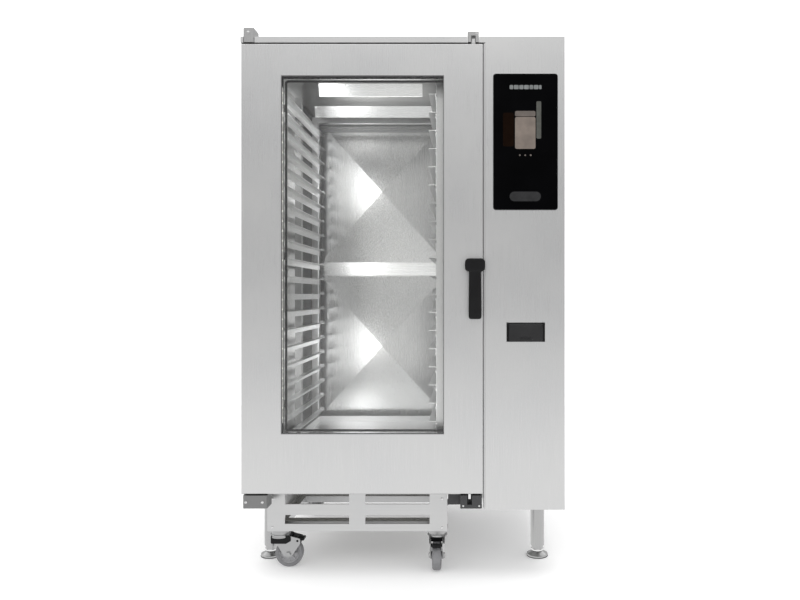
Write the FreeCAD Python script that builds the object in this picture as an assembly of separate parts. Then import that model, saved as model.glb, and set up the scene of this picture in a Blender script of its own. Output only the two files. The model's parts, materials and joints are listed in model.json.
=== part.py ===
"""Roll-in combi steamer oven: cabinet, door with bolt lock, side fans and a wheeled rack.

Millimetres, +Z up, X to the right as seen from the front, the front faces -Y.
The origin is on the floor, under the middle of the overall box.
"""

import FreeCAD, Part
import math
import os

from FreeCAD import Vector

# --- driving dimensions -------------------------------------------------------------
BODY_W = 1080.0          # cabinet width
BODY_TOP = 1810.0        # top of the cover above the floor
FACE_Y = -440.0          # front plane of the door and of the control column
FLANGE_Y = -353.0        # front plane of the cavity's mouth frame
REAR_Y = 475.0           # outer face of the rear panel
REAR_STUB_Y = 500.0      # ends of the pipe stubs on the rear panel
BODY_BOTTOM = 235.0      # underside of the cabinet
TOP_SKIRT_Z = 1790.0     # lower edge of the top cover's skirt

SHEET = 1.5              # outer casing sheet
LINER = 2.0              # cavity sheet
TUBE_WALL = 2.0

CAVITY_X = -165.0        # middle of the cavity and of the rack
CAVITY_HALF_W = 315.0
FLOOR_Z = 380.0          # cavity floor
CEILING_Z = 1745.0
BACK_Y = 350.0           # cavity back wall
FAN_CHAMBER = 120.0      # depth of the fan chamber, right of the cavity
COLUMN_X = 275.0         # left side of the control column

DOOR_X0, DOOR_X1 = -538.0, 268.0
DOOR_Z0, DOOR_Z1 = 286.0, 1787.0
WINDOW_X0, WINDOW_X1 = -405.0, 138.0
WINDOW_Z0, WINDOW_Z1 = 486.0, 1681.0
DOOR_STEP_Y = -395.0     # where the outer shell ends and the inner shell begins
DOOR_BACK_Y = -365.0
HINGE_X, HINGE_Y = -512.0, -415.0
HINGE_PIN_R = 8.0
RUNNING_GAP = 0.05       # radial clearance of every bearing

HANDLE_X, HANDLE_Z = 241.0, 1052.0
HANDLE_FRONT_Y = -500.0
HANDLE_LOW_Z = 871.0
PINION_TEETH = 12
MODULE = 2.0
PRESSURE_ANGLE = math.radians(25)
ROD_THICK = 8.0
UPPER_ROD_X, LOWER_ROD_X = 236.0, 223.0
UPPER_ROD_TOP, LOWER_ROD_LOW = 1806.0, 268.0

LEVELS = 20
PITCH = 63.0             # from one tray level to the next
FIRST_LEVEL_Z = 450.0
LEDGE_HALF_GAP = 246.0   # half the gap between a pair of ledges, for trays 530 wide
WEB_X = 270.0
RUNNER_SHEET = 2.0
RUNNER_WEB_H = 22.0
RACK_Y0, RACK_Y1 = -347.0, 290.0
TROLLEY_REAR_Y = 280.0   # rear end of the rack's chassis
POST = 25.0

WHEEL_R = 48.0
WHEEL_W = 30.0
CASTOR_H = 130.0         # from the floor to the castor's mounting plate
CASTOR_TRAIL = 32.0
CASTOR_HALF_TRACK = 275.0
CASTOR_Y = {"front": -313.0, "rear": 235.0}
CASTOR_TURN = {          # direction of the trail, degrees from +X
    "front_left": 0.0, "front_right": 270.0, "rear_left": 90.0, "rear_right": 90.0,
}
LADDER_HALF_W = 311.0    # half width of the rack's front frame
KINGPIN_R = 8.0
AXLE_R = 6.0
ROLL_PLAY = 12.0         # how far the parked rack can roll back to its stops

FAN_Z = {"upper": 1405.0, "lower": 720.0}
FAN_R = 170.0

CAVITY_X0 = CAVITY_X - CAVITY_HALF_W
CAVITY_X1 = CAVITY_X + CAVITY_HALF_W
CHAMBER_X = CAVITY_X1 + FAN_CHAMBER
BODY_X0, BODY_X1 = -BODY_W / 2, BODY_W / 2
PINION_R = MODULE * PINION_TEETH / 2

AXIS_X = Vector(1, 0, 0)
AXIS_Y = Vector(0, 1, 0)
AXIS_Z = Vector(0, 0, 1)


# --- helpers ------------------------------------------------------------------------
def box(x0, x1, y0, y1, z0, z1):
    return Part.makeBox(x1 - x0, y1 - y0, z1 - z0, Vector(x0, y0, z0))


def rod_x(r, x0, x1, y, z):
    return Part.makeCylinder(r, x1 - x0, Vector(x0, y, z), AXIS_X)


def rod_y(r, y0, y1, x, z):
    return Part.makeCylinder(r, y1 - y0, Vector(x, y0, z), AXIS_Y)


def rod_z(r, z0, z1, x, y):
    return Part.makeCylinder(r, z1 - z0, Vector(x, y, z0), AXIS_Z)


def fuse(first, *others):
    """One clean solid out of pieces that touch or overlap."""
    return first.multiFuse(list(others)).removeSplitter()


def group(*shapes):
    """Separate solids that share one node."""
    solids = []
    for shape in shapes:
        solids.extend(shape.Solids)
    return Part.makeCompound(solids)


def tube_along(axis, x0, x1, y0, y1, z0, z1, wall=TUBE_WALL):
    """A rectangular tube with open ends, running along axis."""
    inner = {
        "x": (x0 - 1, x1 + 1, y0 + wall, y1 - wall, z0 + wall, z1 - wall),
        "y": (x0 + wall, x1 - wall, y0 - 1, y1 + 1, z0 + wall, z1 - wall),
        "z": (x0 + wall, x1 - wall, y0 + wall, y1 - wall, z0 - 1, z1 + 1),
    }[axis]
    return box(x0, x1, y0, y1, z0, z1).cut(box(*inner))


def ring_plate(outer, inner, y0, y1):
    """A flat rectangular ring; outer and inner are (x0, x1, z0, z1)."""
    ox0, ox1, oz0, oz1 = outer
    ix0, ix1, iz0, iz1 = inner
    return box(ox0, ox1, y0, y1, oz0, oz1).cut(box(ix0, ix1, y0 - 1, y1 + 1, iz0, iz1))


def round_edges(shape, radius, picks):
    """Fillets the edges whose middle satisfies picks(x, y, z)."""
    edges = [e for e in shape.Edges if picks(e)]
    return shape.makeFillet(radius, edges)


def edge_runs(edge, axis):
    direction = edge.Vertexes[-1].Point.sub(edge.Vertexes[0].Point)
    length = direction.Length
    return length > 0 and abs(abs(direction.dot(axis)) - length) < 1e-6


def rounded_box(x0, x1, y0, y1, z0, z1, radius, axis):
    """A box whose edges along axis are rounded."""
    return round_edges(box(x0, x1, y0, y1, z0, z1), radius, lambda e: edge_runs(e, axis))


def grown(limits, by):
    """(x0, x1, z0, z1) made larger on every side."""
    x0, x1, z0, z1 = limits
    return (x0 - by, x1 + by, z0 - by, z1 + by)


WINDOW = (WINDOW_X0, WINDOW_X1, WINDOW_Z0, WINDOW_Z1)
DOOR = (DOOR_X0, DOOR_X1, DOOR_Z0, DOOR_Z1)


# --- cabinet: frame and feet ---------------------------------------------------------
FRAME_TUBE = 30.0
BAY_RAIL_X = 175.0
LEG_R = 25.0
LEG_LOW_Z = 40.0
FOOT_R = 38.0
LEG_PLACES = [(x, y) for x in (-500.0, 470.0) for y in (-215.0, 400.0)]


def base_frame():
    """Welded tubes under the cabinet; the bay for the rack stays open at the front."""
    z0, z1 = BODY_BOTTOM, BODY_BOTTOM + FRAME_TUBE
    y0, y1 = FLANGE_Y + 3, REAR_Y - 2
    inner_x0, inner_x1 = BODY_X0 + 2 + FRAME_TUBE, BODY_X1 - 2 - FRAME_TUBE
    bay_x1 = BAY_RAIL_X + FRAME_TUBE
    rails = [
        tube_along("y", x, x + FRAME_TUBE, y0, y1, z0, z1)
        for x in (BODY_X0 + 2, inner_x1)
    ]
    rails.append(tube_along("y", BAY_RAIL_X, bay_x1, y0, y1 - FRAME_TUBE, z0, z1))
    rails.append(tube_along("x", inner_x0, inner_x1, y1 - FRAME_TUBE, y1, z0, z1))
    for y in (y0, 60.0):
        rails.append(tube_along("x", bay_x1, inner_x1, y, y + FRAME_TUBE, z0, z1))
    rear = y1 - FRAME_TUBE
    for sign in (-1, 1):
        x = rack_x(sign * 120)
        hanger = box(x - 15, x + 15, rear, rear + 5, BASE_Z0, z0)
        arm = box(x - 15, x + 15, TROLLEY_REAR_Y + ROLL_PLAY, rear, BASE_Z0 + 4, BASE_Z1 - 4)
        rails.append(fuse(hanger, arm))
    return group(*rails)


def leg_tubes():
    """Four round legs, each with a square plate under the base frame."""
    legs = []
    for x, y in LEG_PLACES:
        plate = box(x - 30, x + 30, y - 30, y + 30, BODY_BOTTOM - 4, BODY_BOTTOM)
        tube = rod_z(LEG_R, LEG_LOW_Z, BODY_BOTTOM - 4, x, y)
        bore = rod_z(LEG_R - TUBE_WALL, LEG_LOW_Z - 1, BODY_BOTTOM - 8, x, y)
        legs.append(fuse(plate, tube).cut(bore))
    return group(*legs)


def levelling_feet():
    """Threaded stems with broad feet, one under each leg."""
    feet = []
    for x, y in LEG_PLACES:
        disc = rod_z(FOOT_R, 0, 8, x, y)
        cone = Part.makeCone(FOOT_R - 4, 16, 12, Vector(x, y, 8), AXIS_Z)
        nut = rod_z(LEG_R - 4, 20, LEG_LOW_Z, x, y)
        stem = rod_z(9, LEG_LOW_Z, 110, x, y)
        feet.append(fuse(disc, cone, nut, stem))
    return group(*feet)


# --- cabinet: casing ------------------------------------------------------------------
RETURN = 12.0            # folded edge of a casing panel


def left_side_panel():
    x0, y0, y1 = BODY_X0, FLANGE_Y + 3, REAR_Y - 2
    z0, z1 = BODY_BOTTOM, TOP_SKIRT_Z
    x1 = x0 + SHEET
    sheet = box(x0, x1, y0, y1, z0 + FRAME_TUBE, z1)
    apron = box(x0, x1, y0, y1, z0, z0 + FRAME_TUBE)
    front = box(x1, x1 + RETURN, y0, y0 + SHEET, z0 + FRAME_TUBE, z1)
    rear = box(x1, x1 + RETURN, y1 - SHEET, y1, z0 + FRAME_TUBE, z1)
    top = box(x1, x1 + RETURN, y0, y1, z1 - SHEET, z1)
    return fuse(sheet, apron, front, rear, top)


def right_side_panel():
    x1, y0, y1 = BODY_X1, FACE_Y + SHEET, REAR_Y - 2
    z0, z1 = BODY_BOTTOM, TOP_SKIRT_Z
    x0 = x1 - SHEET
    sheet = box(x0, x1, y0, y1, z0, z1)
    rear = box(x0 - RETURN, x0, y1 - SHEET, y1, z0 + FRAME_TUBE, z1)
    top = box(x0 - RETURN, x0, y0 + 90, y1, z1 - SHEET, z1)
    return fuse(sheet, rear, top)


LOUVRE_ROWS = 8


def rear_panel():
    """Back sheet with two fields of cooling slots and holes for the pipe stubs."""
    y0 = REAR_Y - 2
    sheet = box(BODY_X0, BODY_X1, y0, REAR_Y, BODY_BOTTOM + FRAME_TUBE, TOP_SKIRT_Z)
    for field_z in (560.0, 1400.0):
        for row in range(LOUVRE_ROWS):
            z = field_z + 22 * row
            sheet = sheet.cut(box(250, 480, y0 - 1, REAR_Y + 1, z, z + 8))
    sheet = sheet.cut(rod_y(DRAIN_R + 2, y0 - 1, REAR_Y + 1, CAVITY_X, DRAIN_Z))
    for x in WATER_INLET_X:
        sheet = sheet.cut(rod_y(WATER_R + 1, y0 - 1, REAR_Y + 1, x, INLET_Z))
    return sheet.cut(rod_y(GLAND_R + 0.5, y0 - 1, REAR_Y + 1, GLAND_X, INLET_Z))


def top_cover():
    """Shallow pan turned down over the cabinet and the door's top edge."""
    cover = box(BODY_X0, BODY_X1, FACE_Y, REAR_Y, TOP_SKIRT_Z, BODY_TOP)
    hollow = box(BODY_X0 + SHEET, BODY_X1 - SHEET, FACE_Y + SHEET, REAR_Y - SHEET,
                 TOP_SKIRT_Z - 1, BODY_TOP - SHEET)
    cover = cover.cut(hollow)
    for x0, x1 in (TOP_BRACKET_X, TOP_STRIKER_X):
        cover = cover.cut(box(x0 - 1, x1 + 1, FACE_Y - 1, BRACKET_BACK_Y + 1,
                              TOP_SKIRT_Z - 1, BODY_TOP + 1))
    return cover.cut(rod_z(VENT_R + 1, TOP_SKIRT_Z - 1, BODY_TOP + 1, VENT_X, VENT_Y))


def column_base_plate():
    """Floor of the compartment right of the cavity, resting on the base frame."""
    z = BODY_BOTTOM + FRAME_TUBE
    return box(BAY_RAIL_X, BODY_X1 - SHEET, FLANGE_Y + 3, REAR_Y - 2 - SHEET, z, z + 2)


def mouth_frame():
    """Inverted U that frames the cavity's mouth, open at the bottom for the rack."""
    plate = box(BODY_X0, COLUMN_X, FLANGE_Y, FLANGE_Y + 3, BODY_BOTTOM, TOP_SKIRT_Z)
    return plate.cut(box(CAVITY_X0, CAVITY_X1, FLANGE_Y - 1, FLANGE_Y + 4,
                         BODY_BOTTOM - 1, CEILING_Z))


DISPLAY = (303.0, 515.0, 1234.0, 1684.0)
POCKET = (356.0, 464.0, 802.0, 844.0)


def column_front_panel():
    """Front sheet of the control column, folded back on both sides."""
    face = box(COLUMN_X, BODY_X1, FACE_Y, FACE_Y + SHEET, BODY_BOTTOM, TOP_SKIRT_Z)
    left = box(COLUMN_X, COLUMN_X + SHEET, FACE_Y, FLANGE_Y + 3, BODY_BOTTOM, TOP_SKIRT_Z)
    low = box(COLUMN_X, BODY_X1 - SHEET, FACE_Y, FLANGE_Y + 3, BODY_BOTTOM, BODY_BOTTOM + SHEET)
    panel = fuse(face, left, low)
    for x0, x1, z0, z1 in (grown(DISPLAY, -12), POCKET):
        panel = panel.cut(box(x0, x1, FACE_Y - 1, FACE_Y + SHEET + 1, z0, z1))
    return panel


# --- cabinet: cavity -----------------------------------------------------------------
FLOOR_FRONT_Y = -308.0
SHAFT_HOLE_R = 22.0
TERMINAL_R = 7.0
HEATER_R = 205.0
STEAM_PIPE_R = 14.0
STEAM_PIPE_Z = 1060.0
VENT_R, VENT_X, VENT_Y = 30.0, -100.0, 280.0


def heater_terminals():
    """(y, z) of each heating element's ends."""
    return [(y, z - HEATER_R) for z in FAN_Z.values() for y in (-12.0, 12.0)]


def cavity_liner():
    """Left wall, ceiling, floor and the outer wall of the fan chamber."""
    x0, x1 = CAVITY_X0 - LINER, CHAMBER_X + LINER
    y0 = FLANGE_Y + 3
    left = box(x0, CAVITY_X0, y0, BACK_Y, FLOOR_Z - LINER, CEILING_Z + LINER)
    ceiling = box(CAVITY_X0, CHAMBER_X, y0, BACK_Y, CEILING_Z, CEILING_Z + LINER)
    right = box(CHAMBER_X, x1, y0, BACK_Y, FLOOR_Z - LINER, CEILING_Z + LINER)
    floor = box(x0, x1, FLOOR_FRONT_Y, BACK_Y, FLOOR_Z - LINER, FLOOR_Z)
    lip = box(CAVITY_X0, CAVITY_X1, FLOOR_FRONT_Y, FLOOR_FRONT_Y + LINER,
              FLOOR_Z - 40, FLOOR_Z - LINER)
    front = box(CAVITY_X1, CHAMBER_X, y0, y0 + LINER, FLOOR_Z - LINER, CEILING_Z)
    liner = fuse(left, ceiling, right, floor, lip, front)
    for z in FAN_Z.values():
        liner = liner.cut(rod_x(SHAFT_HOLE_R, CHAMBER_X - 1, x1 + 1, 0, z))
    for y, z in heater_terminals():
        liner = liner.cut(rod_x(TERMINAL_R, CHAMBER_X - 1, x1 + 1, y, z))
    liner = liner.cut(rod_x(STEAM_PIPE_R + 0.5, CHAMBER_X - 1, x1 + 1, 150, STEAM_PIPE_Z))
    liner = liner.cut(rod_z(30, FLOOR_Z - LINER - 1, FLOOR_Z + 1, CAVITY_X, 0))
    return liner.cut(rod_z(VENT_R + 0.5, CEILING_Z - 1, CEILING_Z + LINER + 1, VENT_X, VENT_Y))


CREASE_DEPTH = 24.0
CREASE_HALF_W = 276.0
CREASE_FIELDS = [(1097.0, 1717.0), (413.0, 1033.0)]


def pyramid(x0, x1, z0, z1, base_y, height):
    """Four-sided pyramid whose base lies at base_y and whose point looks along -Y."""
    corners = [Vector(x, base_y, z) for x, z in ((x0, z0), (x1, z0), (x1, z1), (x0, z1))]
    tip = Vector((x0 + x1) / 2, base_y - height, (z0 + z1) / 2)
    faces = [Part.Face(Part.makePolygon(corners + corners[:1]))]
    for a, b in zip(corners, corners[1:] + corners[:1]):
        faces.append(Part.Face(Part.makePolygon([a, b, tip, a])))
    solid = Part.makeSolid(Part.makeShell(faces))
    if solid.Volume < 0:
        solid.reverse()
    return solid


def cavity_back_wall():
    """Back sheet with two cross-broken fields, raised towards the mouth."""
    wall = box(CAVITY_X0 - LINER, CHAMBER_X + LINER, BACK_Y, BACK_Y + LINER,
               FLOOR_Z - LINER, CEILING_Z + LINER)
    for z0, z1 in CREASE_FIELDS:
        limits = (CAVITY_X - CREASE_HALF_W, CAVITY_X + CREASE_HALF_W, z0, z1)
        wall = wall.fuse(pyramid(*limits, BACK_Y, CREASE_DEPTH))
        wall = wall.cut(pyramid(*grown(limits, -LINER * 2), BACK_Y + LINER, CREASE_DEPTH))
    return wall.removeSplitter()


BAFFLE_X = 157.0
INTAKE_R = 140.0
INTAKE_PITCH = 20.0


def air_baffle():
    """Sheet between cavity and fans, with a slotted intake in front of each fan."""
    sheet = box(BAFFLE_X, BAFFLE_X + LINER, -332, 332, FLOOR_Z + 22, CEILING_Z - 22)
    rows = int(INTAKE_R // INTAKE_PITCH)
    for fan_z in FAN_Z.values():
        for row in range(-rows, rows + 1):
            z = row * INTAKE_PITCH
            half = math.sqrt(INTAKE_R ** 2 - z ** 2) - 4
            if half > 15:
                sheet = sheet.cut(box(BAFFLE_X - 1, BAFFLE_X + LINER + 1, -half, half,
                                      fan_z + z - 5, fan_z + z + 5))
    posts = []
    for y in (-300.0, 300.0):
        for z in (FLOOR_Z + 60, 1060.0, CEILING_Z - 60):
            posts.append(rod_x(8, BAFFLE_X + LINER, CHAMBER_X, y, z))
    return group(sheet, *posts)


INSULATION = 38.0


def insulation():
    """Mineral wool slabs around the cavity."""
    x0, x1 = CAVITY_X0 - LINER - 1, CHAMBER_X + LINER + 1
    z0, z1 = FLOOR_Z - LINER - 1, CEILING_Z + LINER + 1
    y0, y1 = FLANGE_Y + 6, BACK_Y + LINER + 1
    left = box(x0 - INSULATION, x0, y0, y1, FLOOR_Z - 60, z1)
    top = box(x0, CHAMBER_X, y0, y1, z1, z1 + INSULATION)
    low = box(CAVITY_X0, CHAMBER_X, FLOOR_FRONT_Y + 10, y1, z0 - INSULATION, z0)
    back = box(x0 - INSULATION, x1, y1, y1 + INSULATION, z0 - INSULATION, z1 + INSULATION)
    right = box(x1, x1 + INSULATION, y0, y1, z0 - INSULATION, z1)
    for z in FAN_Z.values():
        right = right.cut(rod_x(70, x1 - 1, x1 + INSULATION + 1, 0, z))
    for y, z in heater_terminals():
        right = right.cut(rod_x(20, x1 - 1, x1 + INSULATION + 1, y, z))
    right = right.cut(rod_x(STEAM_PIPE_R + 1, x1 - 1, x1 + INSULATION + 1, 150, STEAM_PIPE_Z))
    top = top.cut(rod_z(VENT_R + 1, z1 - 1, z1 + INSULATION + 1, VENT_X, VENT_Y))
    low = low.cut(rod_z(34, z0 - INSULATION - 1, z0 + 1, CAVITY_X, 0))
    return group(left, top, low, back, right)


GASKET_W = 18.0
GASKET = (-505.0, 190.0, 305.0, 1768.0)


def door_gasket():
    """Silicone frame on the mouth frame; its lower side lies on the rack's seal plate."""
    ring = ring_plate(GASKET, grown(GASKET, -GASKET_W), DOOR_BACK_Y, FLANGE_Y)
    return round_edges(ring, 5, lambda e: abs(e.CenterOfMass.y - DOOR_BACK_Y) < 0.01)


# --- cabinet: hinges and strikers -------------------------------------------------------
BRACKET_FRONT_Y, BRACKET_BACK_Y = -444.0, -385.0
TOP_BRACKET_X = (-530.0, -494.0)
TOP_BRACKET_Z1 = 1838.0
TOP_STRIKER_X = (216.0, 254.0)
LOW_BRACKET_X = (-531.0, -450.0)
LOW_STRIKER_X = (192.0, 264.0)
LOW_STRIKER_WING_X = 150.0    # the plate beside the lower striker
LOW_BLOCK_Z0, LOW_BLOCK_Z1 = 240.0, 283.0


def rod_slot(x, z0, z1, gap):
    """Room for a lock rod centred on x."""
    half_w, half_t = 5 + gap, ROD_THICK / 2 + gap
    return box(x - half_w, x + half_w, ROD_Y - half_t, ROD_Y + half_t, z0, z1)


def keeper_slot(x, z0, z1):
    """Slot for the end of a lock rod, open at the front so that the door can swing out of it."""
    return box(x - 8, x + 8, BRACKET_FRONT_Y - 1, ROD_Y + ROD_THICK / 2 + 2, z0, z1)


def hinge_brackets():
    """Upper and lower door brackets, each with its hinge pin."""
    upper = rounded_box(*TOP_BRACKET_X, BRACKET_FRONT_Y, BRACKET_BACK_Y,
                        TOP_SKIRT_Z, TOP_BRACKET_Z1, 6, AXIS_Z)
    tongue = box(*TOP_BRACKET_X, BRACKET_BACK_Y - 12, FLANGE_Y, TOP_SKIRT_Z, TOP_SKIRT_Z + 8)
    upper = fuse(upper, tongue).cut(rod_z(HINGE_PIN_R, TOP_SKIRT_Z - 1, 1825, HINGE_X, HINGE_Y))
    upper_pin = rod_z(HINGE_PIN_R, DOOR_Z1 - 29, 1825, HINGE_X, HINGE_Y)
    lower = rounded_box(*LOW_BRACKET_X, BRACKET_FRONT_Y, BRACKET_BACK_Y,
                        LOW_BLOCK_Z0, LOW_BLOCK_Z1, 6, AXIS_Z)
    foot = box(LOW_BRACKET_X[0], -484, BRACKET_BACK_Y - 12, FLANGE_Y, LOW_BLOCK_Z0, LOW_BLOCK_Z1)
    lower = fuse(lower, foot).cut(rod_z(HINGE_PIN_R, LOW_BLOCK_Z0 + 8, LOW_BLOCK_Z1 + 1,
                                        HINGE_X, HINGE_Y))
    lower_pin = rod_z(HINGE_PIN_R, LOW_BLOCK_Z0 + 8, DOOR_Z0 + 27, HINGE_X, HINGE_Y)
    return group(upper, upper_pin, lower, lower_pin)


def lock_strikers():
    """Blocks above and below the door that catch the ends of the lock rods."""
    upper = rounded_box(*TOP_STRIKER_X, BRACKET_FRONT_Y, BRACKET_BACK_Y,
                        TOP_SKIRT_Z, 1825, 5, AXIS_Z)
    tongue = box(*TOP_STRIKER_X, BRACKET_BACK_Y - 10, FLANGE_Y, TOP_SKIRT_Z, TOP_SKIRT_Z + 8)
    upper = fuse(upper, tongue).cut(keeper_slot(UPPER_ROD_X, TOP_SKIRT_Z - 1, 1812))
    lower = rounded_box(*LOW_STRIKER_X, BRACKET_FRONT_Y, BRACKET_BACK_Y,
                        LOW_BLOCK_Z0, LOW_BLOCK_Z1, 5, AXIS_Z)
    foot = box(*LOW_STRIKER_X, BRACKET_BACK_Y - 10, FLANGE_Y, LOW_BLOCK_Z0, LOW_BLOCK_Z1)
    wing = box(LOW_STRIKER_WING_X, LOW_STRIKER_X[0] + 6, BRACKET_BACK_Y - 14, BRACKET_BACK_Y - 8,
               LOW_BLOCK_Z0, LOW_BLOCK_Z1)
    lower = fuse(lower, foot, wing).cut(keeper_slot(LOWER_ROD_X, LOW_BLOCK_Z0 + 12, LOW_BLOCK_Z1 + 1))
    return group(upper, lower)


# --- cabinet: air, heat, steam and water -------------------------------------------------
MOTOR_X = CHAMBER_X + LINER + 1 + INSULATION
FAN_X0 = 172.0
FAN_DEPTH = 78.0
SHAFT_R = 10.0
HUB_R = 28.0


def fan_motors():
    motors = []
    for z in FAN_Z.values():
        flange = rod_x(90, MOTOR_X, MOTOR_X + 8, 0, z)
        barrel = rod_x(68, MOTOR_X + 8, MOTOR_X + 128, 0, z)
        cap = Part.makeCone(68, 52, 16, Vector(MOTOR_X + 128, 0, z), AXIS_X)
        collar = rod_x(20, CHAMBER_X - 4, MOTOR_X, 0, z)
        shaft = rod_x(SHAFT_R, FAN_X0 + 12, CHAMBER_X - 4, 0, z)
        case = box(MOTOR_X + 40, MOTOR_X + 100, 60, 92, z - 30, z + 30)
        motors.append(fuse(flange, barrel, cap, collar, shaft, case))
    return group(*motors)


BLADES = 10


def fan_wheel(z):
    """Radial wheel: back plate, front ring, blades and a hub that sleeves the shaft."""
    x1 = FAN_X0 + FAN_DEPTH
    back = rod_x(FAN_R, x1 - 3, x1, 0, z)
    ring = rod_x(FAN_R, FAN_X0, FAN_X0 + 3, 0, z).cut(
        rod_x(FAN_R - 45, FAN_X0 - 1, FAN_X0 + 4, 0, z))
    hub = rod_x(HUB_R, FAN_X0 + 10, x1, 0, z)
    pieces = [ring, hub]
    for i in range(BLADES):
        blade = box(FAN_X0 + 3, x1 - 3, -1.5, 1.5, z + FAN_R - 45, z + FAN_R)
        blade.rotate(Vector(0, 0, z + FAN_R - 22), AXIS_X, 35)
        blade.rotate(Vector(0, 0, z), AXIS_X, 360 / BLADES * i)
        pieces.append(blade.common(rod_x(FAN_R, FAN_X0, x1, 0, z)))
    wheel = fuse(back, *pieces)
    return wheel.cut(rod_x(SHAFT_R + RUNNING_GAP, FAN_X0 + 12 - 1, x1 + 1, 0, z))


def heating_elements():
    """Three heater rings around each fan wheel, tied together and wired out to the right."""
    elements = []
    ring_xs = [192.0, 212.0, 232.0]
    for z in FAN_Z.values():
        pieces = [Part.makeTorus(HEATER_R, 4.2, Vector(x, 0, z), AXIS_X) for x in ring_xs]
        for angle in (0, 120, 240):
            bar = box(ring_xs[0] - 5, ring_xs[-1] + 5, -6, 6, z + HEATER_R - 2, z + HEATER_R + 2)
            bar.rotate(Vector(0, 0, z), AXIS_X, angle + 30)
            pieces.append(bar)
        for y in (-12.0, 12.0):
            pieces.append(rod_x(4.2, ring_xs[0], MOTOR_X + 12, y, z - HEATER_R))
        elements.append(fuse(*pieces))
    return group(*elements)


TANK_X, TANK_Y, TANK_R = 415.0, 220.0, 95.0
TANK_Z0, TANK_Z1 = 285.0, 640.0


def steam_generator():
    """Boiler: a hollow tank with domed ends on three feet and a flanged heater head."""
    wall, slope = 3.0, 45.0
    tank = rod_z(TANK_R, TANK_Z0 + 25, TANK_Z1, TANK_X, TANK_Y)
    dome = Part.makeCone(TANK_R, TANK_R - slope, 25, Vector(TANK_X, TANK_Y, TANK_Z1), AXIS_Z)
    dish = Part.makeCone(TANK_R - slope, TANK_R, 25, Vector(TANK_X, TANK_Y, TANK_Z0), AXIS_Z)
    head = rod_z(36, TANK_Z1 + 25, TANK_Z1 + 45, TANK_X + 20, TANK_Y)
    nozzle = rod_z(STEAM_PIPE_R, TANK_Z1 + 20, TANK_Z1 + 50, TANK_X - 40, TANK_Y)
    pieces = [tank, dome, dish, head, nozzle]
    base_z = BODY_BOTTOM + FRAME_TUBE + 2
    for angle in (90, 210, 330):
        x = TANK_X + 80 * math.cos(math.radians(angle))
        y = TANK_Y + 80 * math.sin(math.radians(angle))
        pieces.append(rod_z(8, base_z, TANK_Z0 + 26, x, y))
    hollow = rod_z(TANK_R - wall, TANK_Z0 + 28, TANK_Z1 - 3, TANK_X, TANK_Y)
    outlet = rod_z(STEAM_PIPE_R - wall, TANK_Z1 - 10, TANK_Z1 + 51, TANK_X - 40, TANK_Y)
    return fuse(*pieces).cut(hollow).cut(outlet)


def steam_pipe():
    """From the boiler's nozzle up and left into the fan chamber."""
    x, bend = TANK_X - 40, 35.0
    top = STEAM_PIPE_Z
    low = Vector(x, TANK_Y, TANK_Z1 + 50)
    side = Vector(x, TANK_Y, top - 70)
    path = Part.Wire([
        Part.LineSegment(low, side - Vector(0, 0, bend)).toShape(),
        Part.Arc(side - Vector(0, 0, bend),
                 side + Vector(0, -bend * (1 - math.sqrt(0.5)), -bend * (1 - math.sqrt(0.5))),
                 side + Vector(0, -bend, 0)).toShape(),
    ])
    outer = Part.Wire([Part.makeCircle(STEAM_PIPE_R, low, AXIS_Z)])
    riser = path.makePipeShell([outer], True, True)
    joint = Part.makeSphere(STEAM_PIPE_R + 4, Vector(x, 150, top - 70))
    level = rod_y(STEAM_PIPE_R, 150, TANK_Y - bend, x, top - 70)
    drop = rod_z(STEAM_PIPE_R, top - 70, top, x, 150)
    corner = Part.makeSphere(STEAM_PIPE_R, Vector(x, 150, top))
    across = rod_x(STEAM_PIPE_R, CHAMBER_X - 30, x, 150, top)
    return fuse(riser, joint, level, drop, corner, across)


DRAIN_R, DRAIN_Z = 25.0, 300.0
DRAIN_BOX_X = (-250.0, -70.0)
DRAIN_BOX_Y = (398.0, 468.0)


def drain_box():
    """Floor strainer, drain run under the cavity, hollow cooling box and the outlet stub."""
    strainer = rod_z(42, FLOOR_Z, FLOOR_Z + 3, CAVITY_X, 0)
    down = rod_z(28, DRAIN_Z, FLOOR_Z, CAVITY_X, 0)
    along = rod_y(22, 0, DRAIN_BOX_Y[0], CAVITY_X, DRAIN_Z)
    elbow = Part.makeSphere(28, Vector(CAVITY_X, 0, DRAIN_Z))
    box_z0, box_z1 = BODY_BOTTOM + FRAME_TUBE + 4, 560
    tank = rounded_box(*DRAIN_BOX_X, *DRAIN_BOX_Y, box_z0, box_z1, 12, AXIS_Z)
    stub = rod_y(DRAIN_R, DRAIN_BOX_Y[1], REAR_STUB_Y, CAVITY_X, DRAIN_Z)
    collar = rod_y(DRAIN_R + 9, REAR_Y, REAR_Y + 3, CAVITY_X, DRAIN_Z)
    drain = fuse(strainer, down, elbow, along, tank, stub, collar)
    x0, x1 = DRAIN_BOX_X
    hollow = box(x0 + 3, x1 - 3, DRAIN_BOX_Y[0] + 3, DRAIN_BOX_Y[1] - 3, box_z0 + 3, box_z1 - 3)
    for bore in (
        hollow,
        rod_z(25, DRAIN_Z, FLOOR_Z - 2, CAVITY_X, 0),
        Part.makeSphere(25, Vector(CAVITY_X, 0, DRAIN_Z)),
        rod_y(19, 0, DRAIN_BOX_Y[0] + 4, CAVITY_X, DRAIN_Z),
        rod_y(DRAIN_R - 3, DRAIN_BOX_Y[1] - 4, REAR_STUB_Y + 1, CAVITY_X, DRAIN_Z),
    ):
        drain = drain.cut(bore)
    for i in range(6):
        angle = math.radians(60 * i)
        x, y = CAVITY_X + 16 * math.cos(angle), 16 * math.sin(angle)
        drain = drain.cut(rod_z(5, FLOOR_Z - 3, FLOOR_Z + 4, x, y))
    return drain


VENT_TOP_Z = 1850.0


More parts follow.
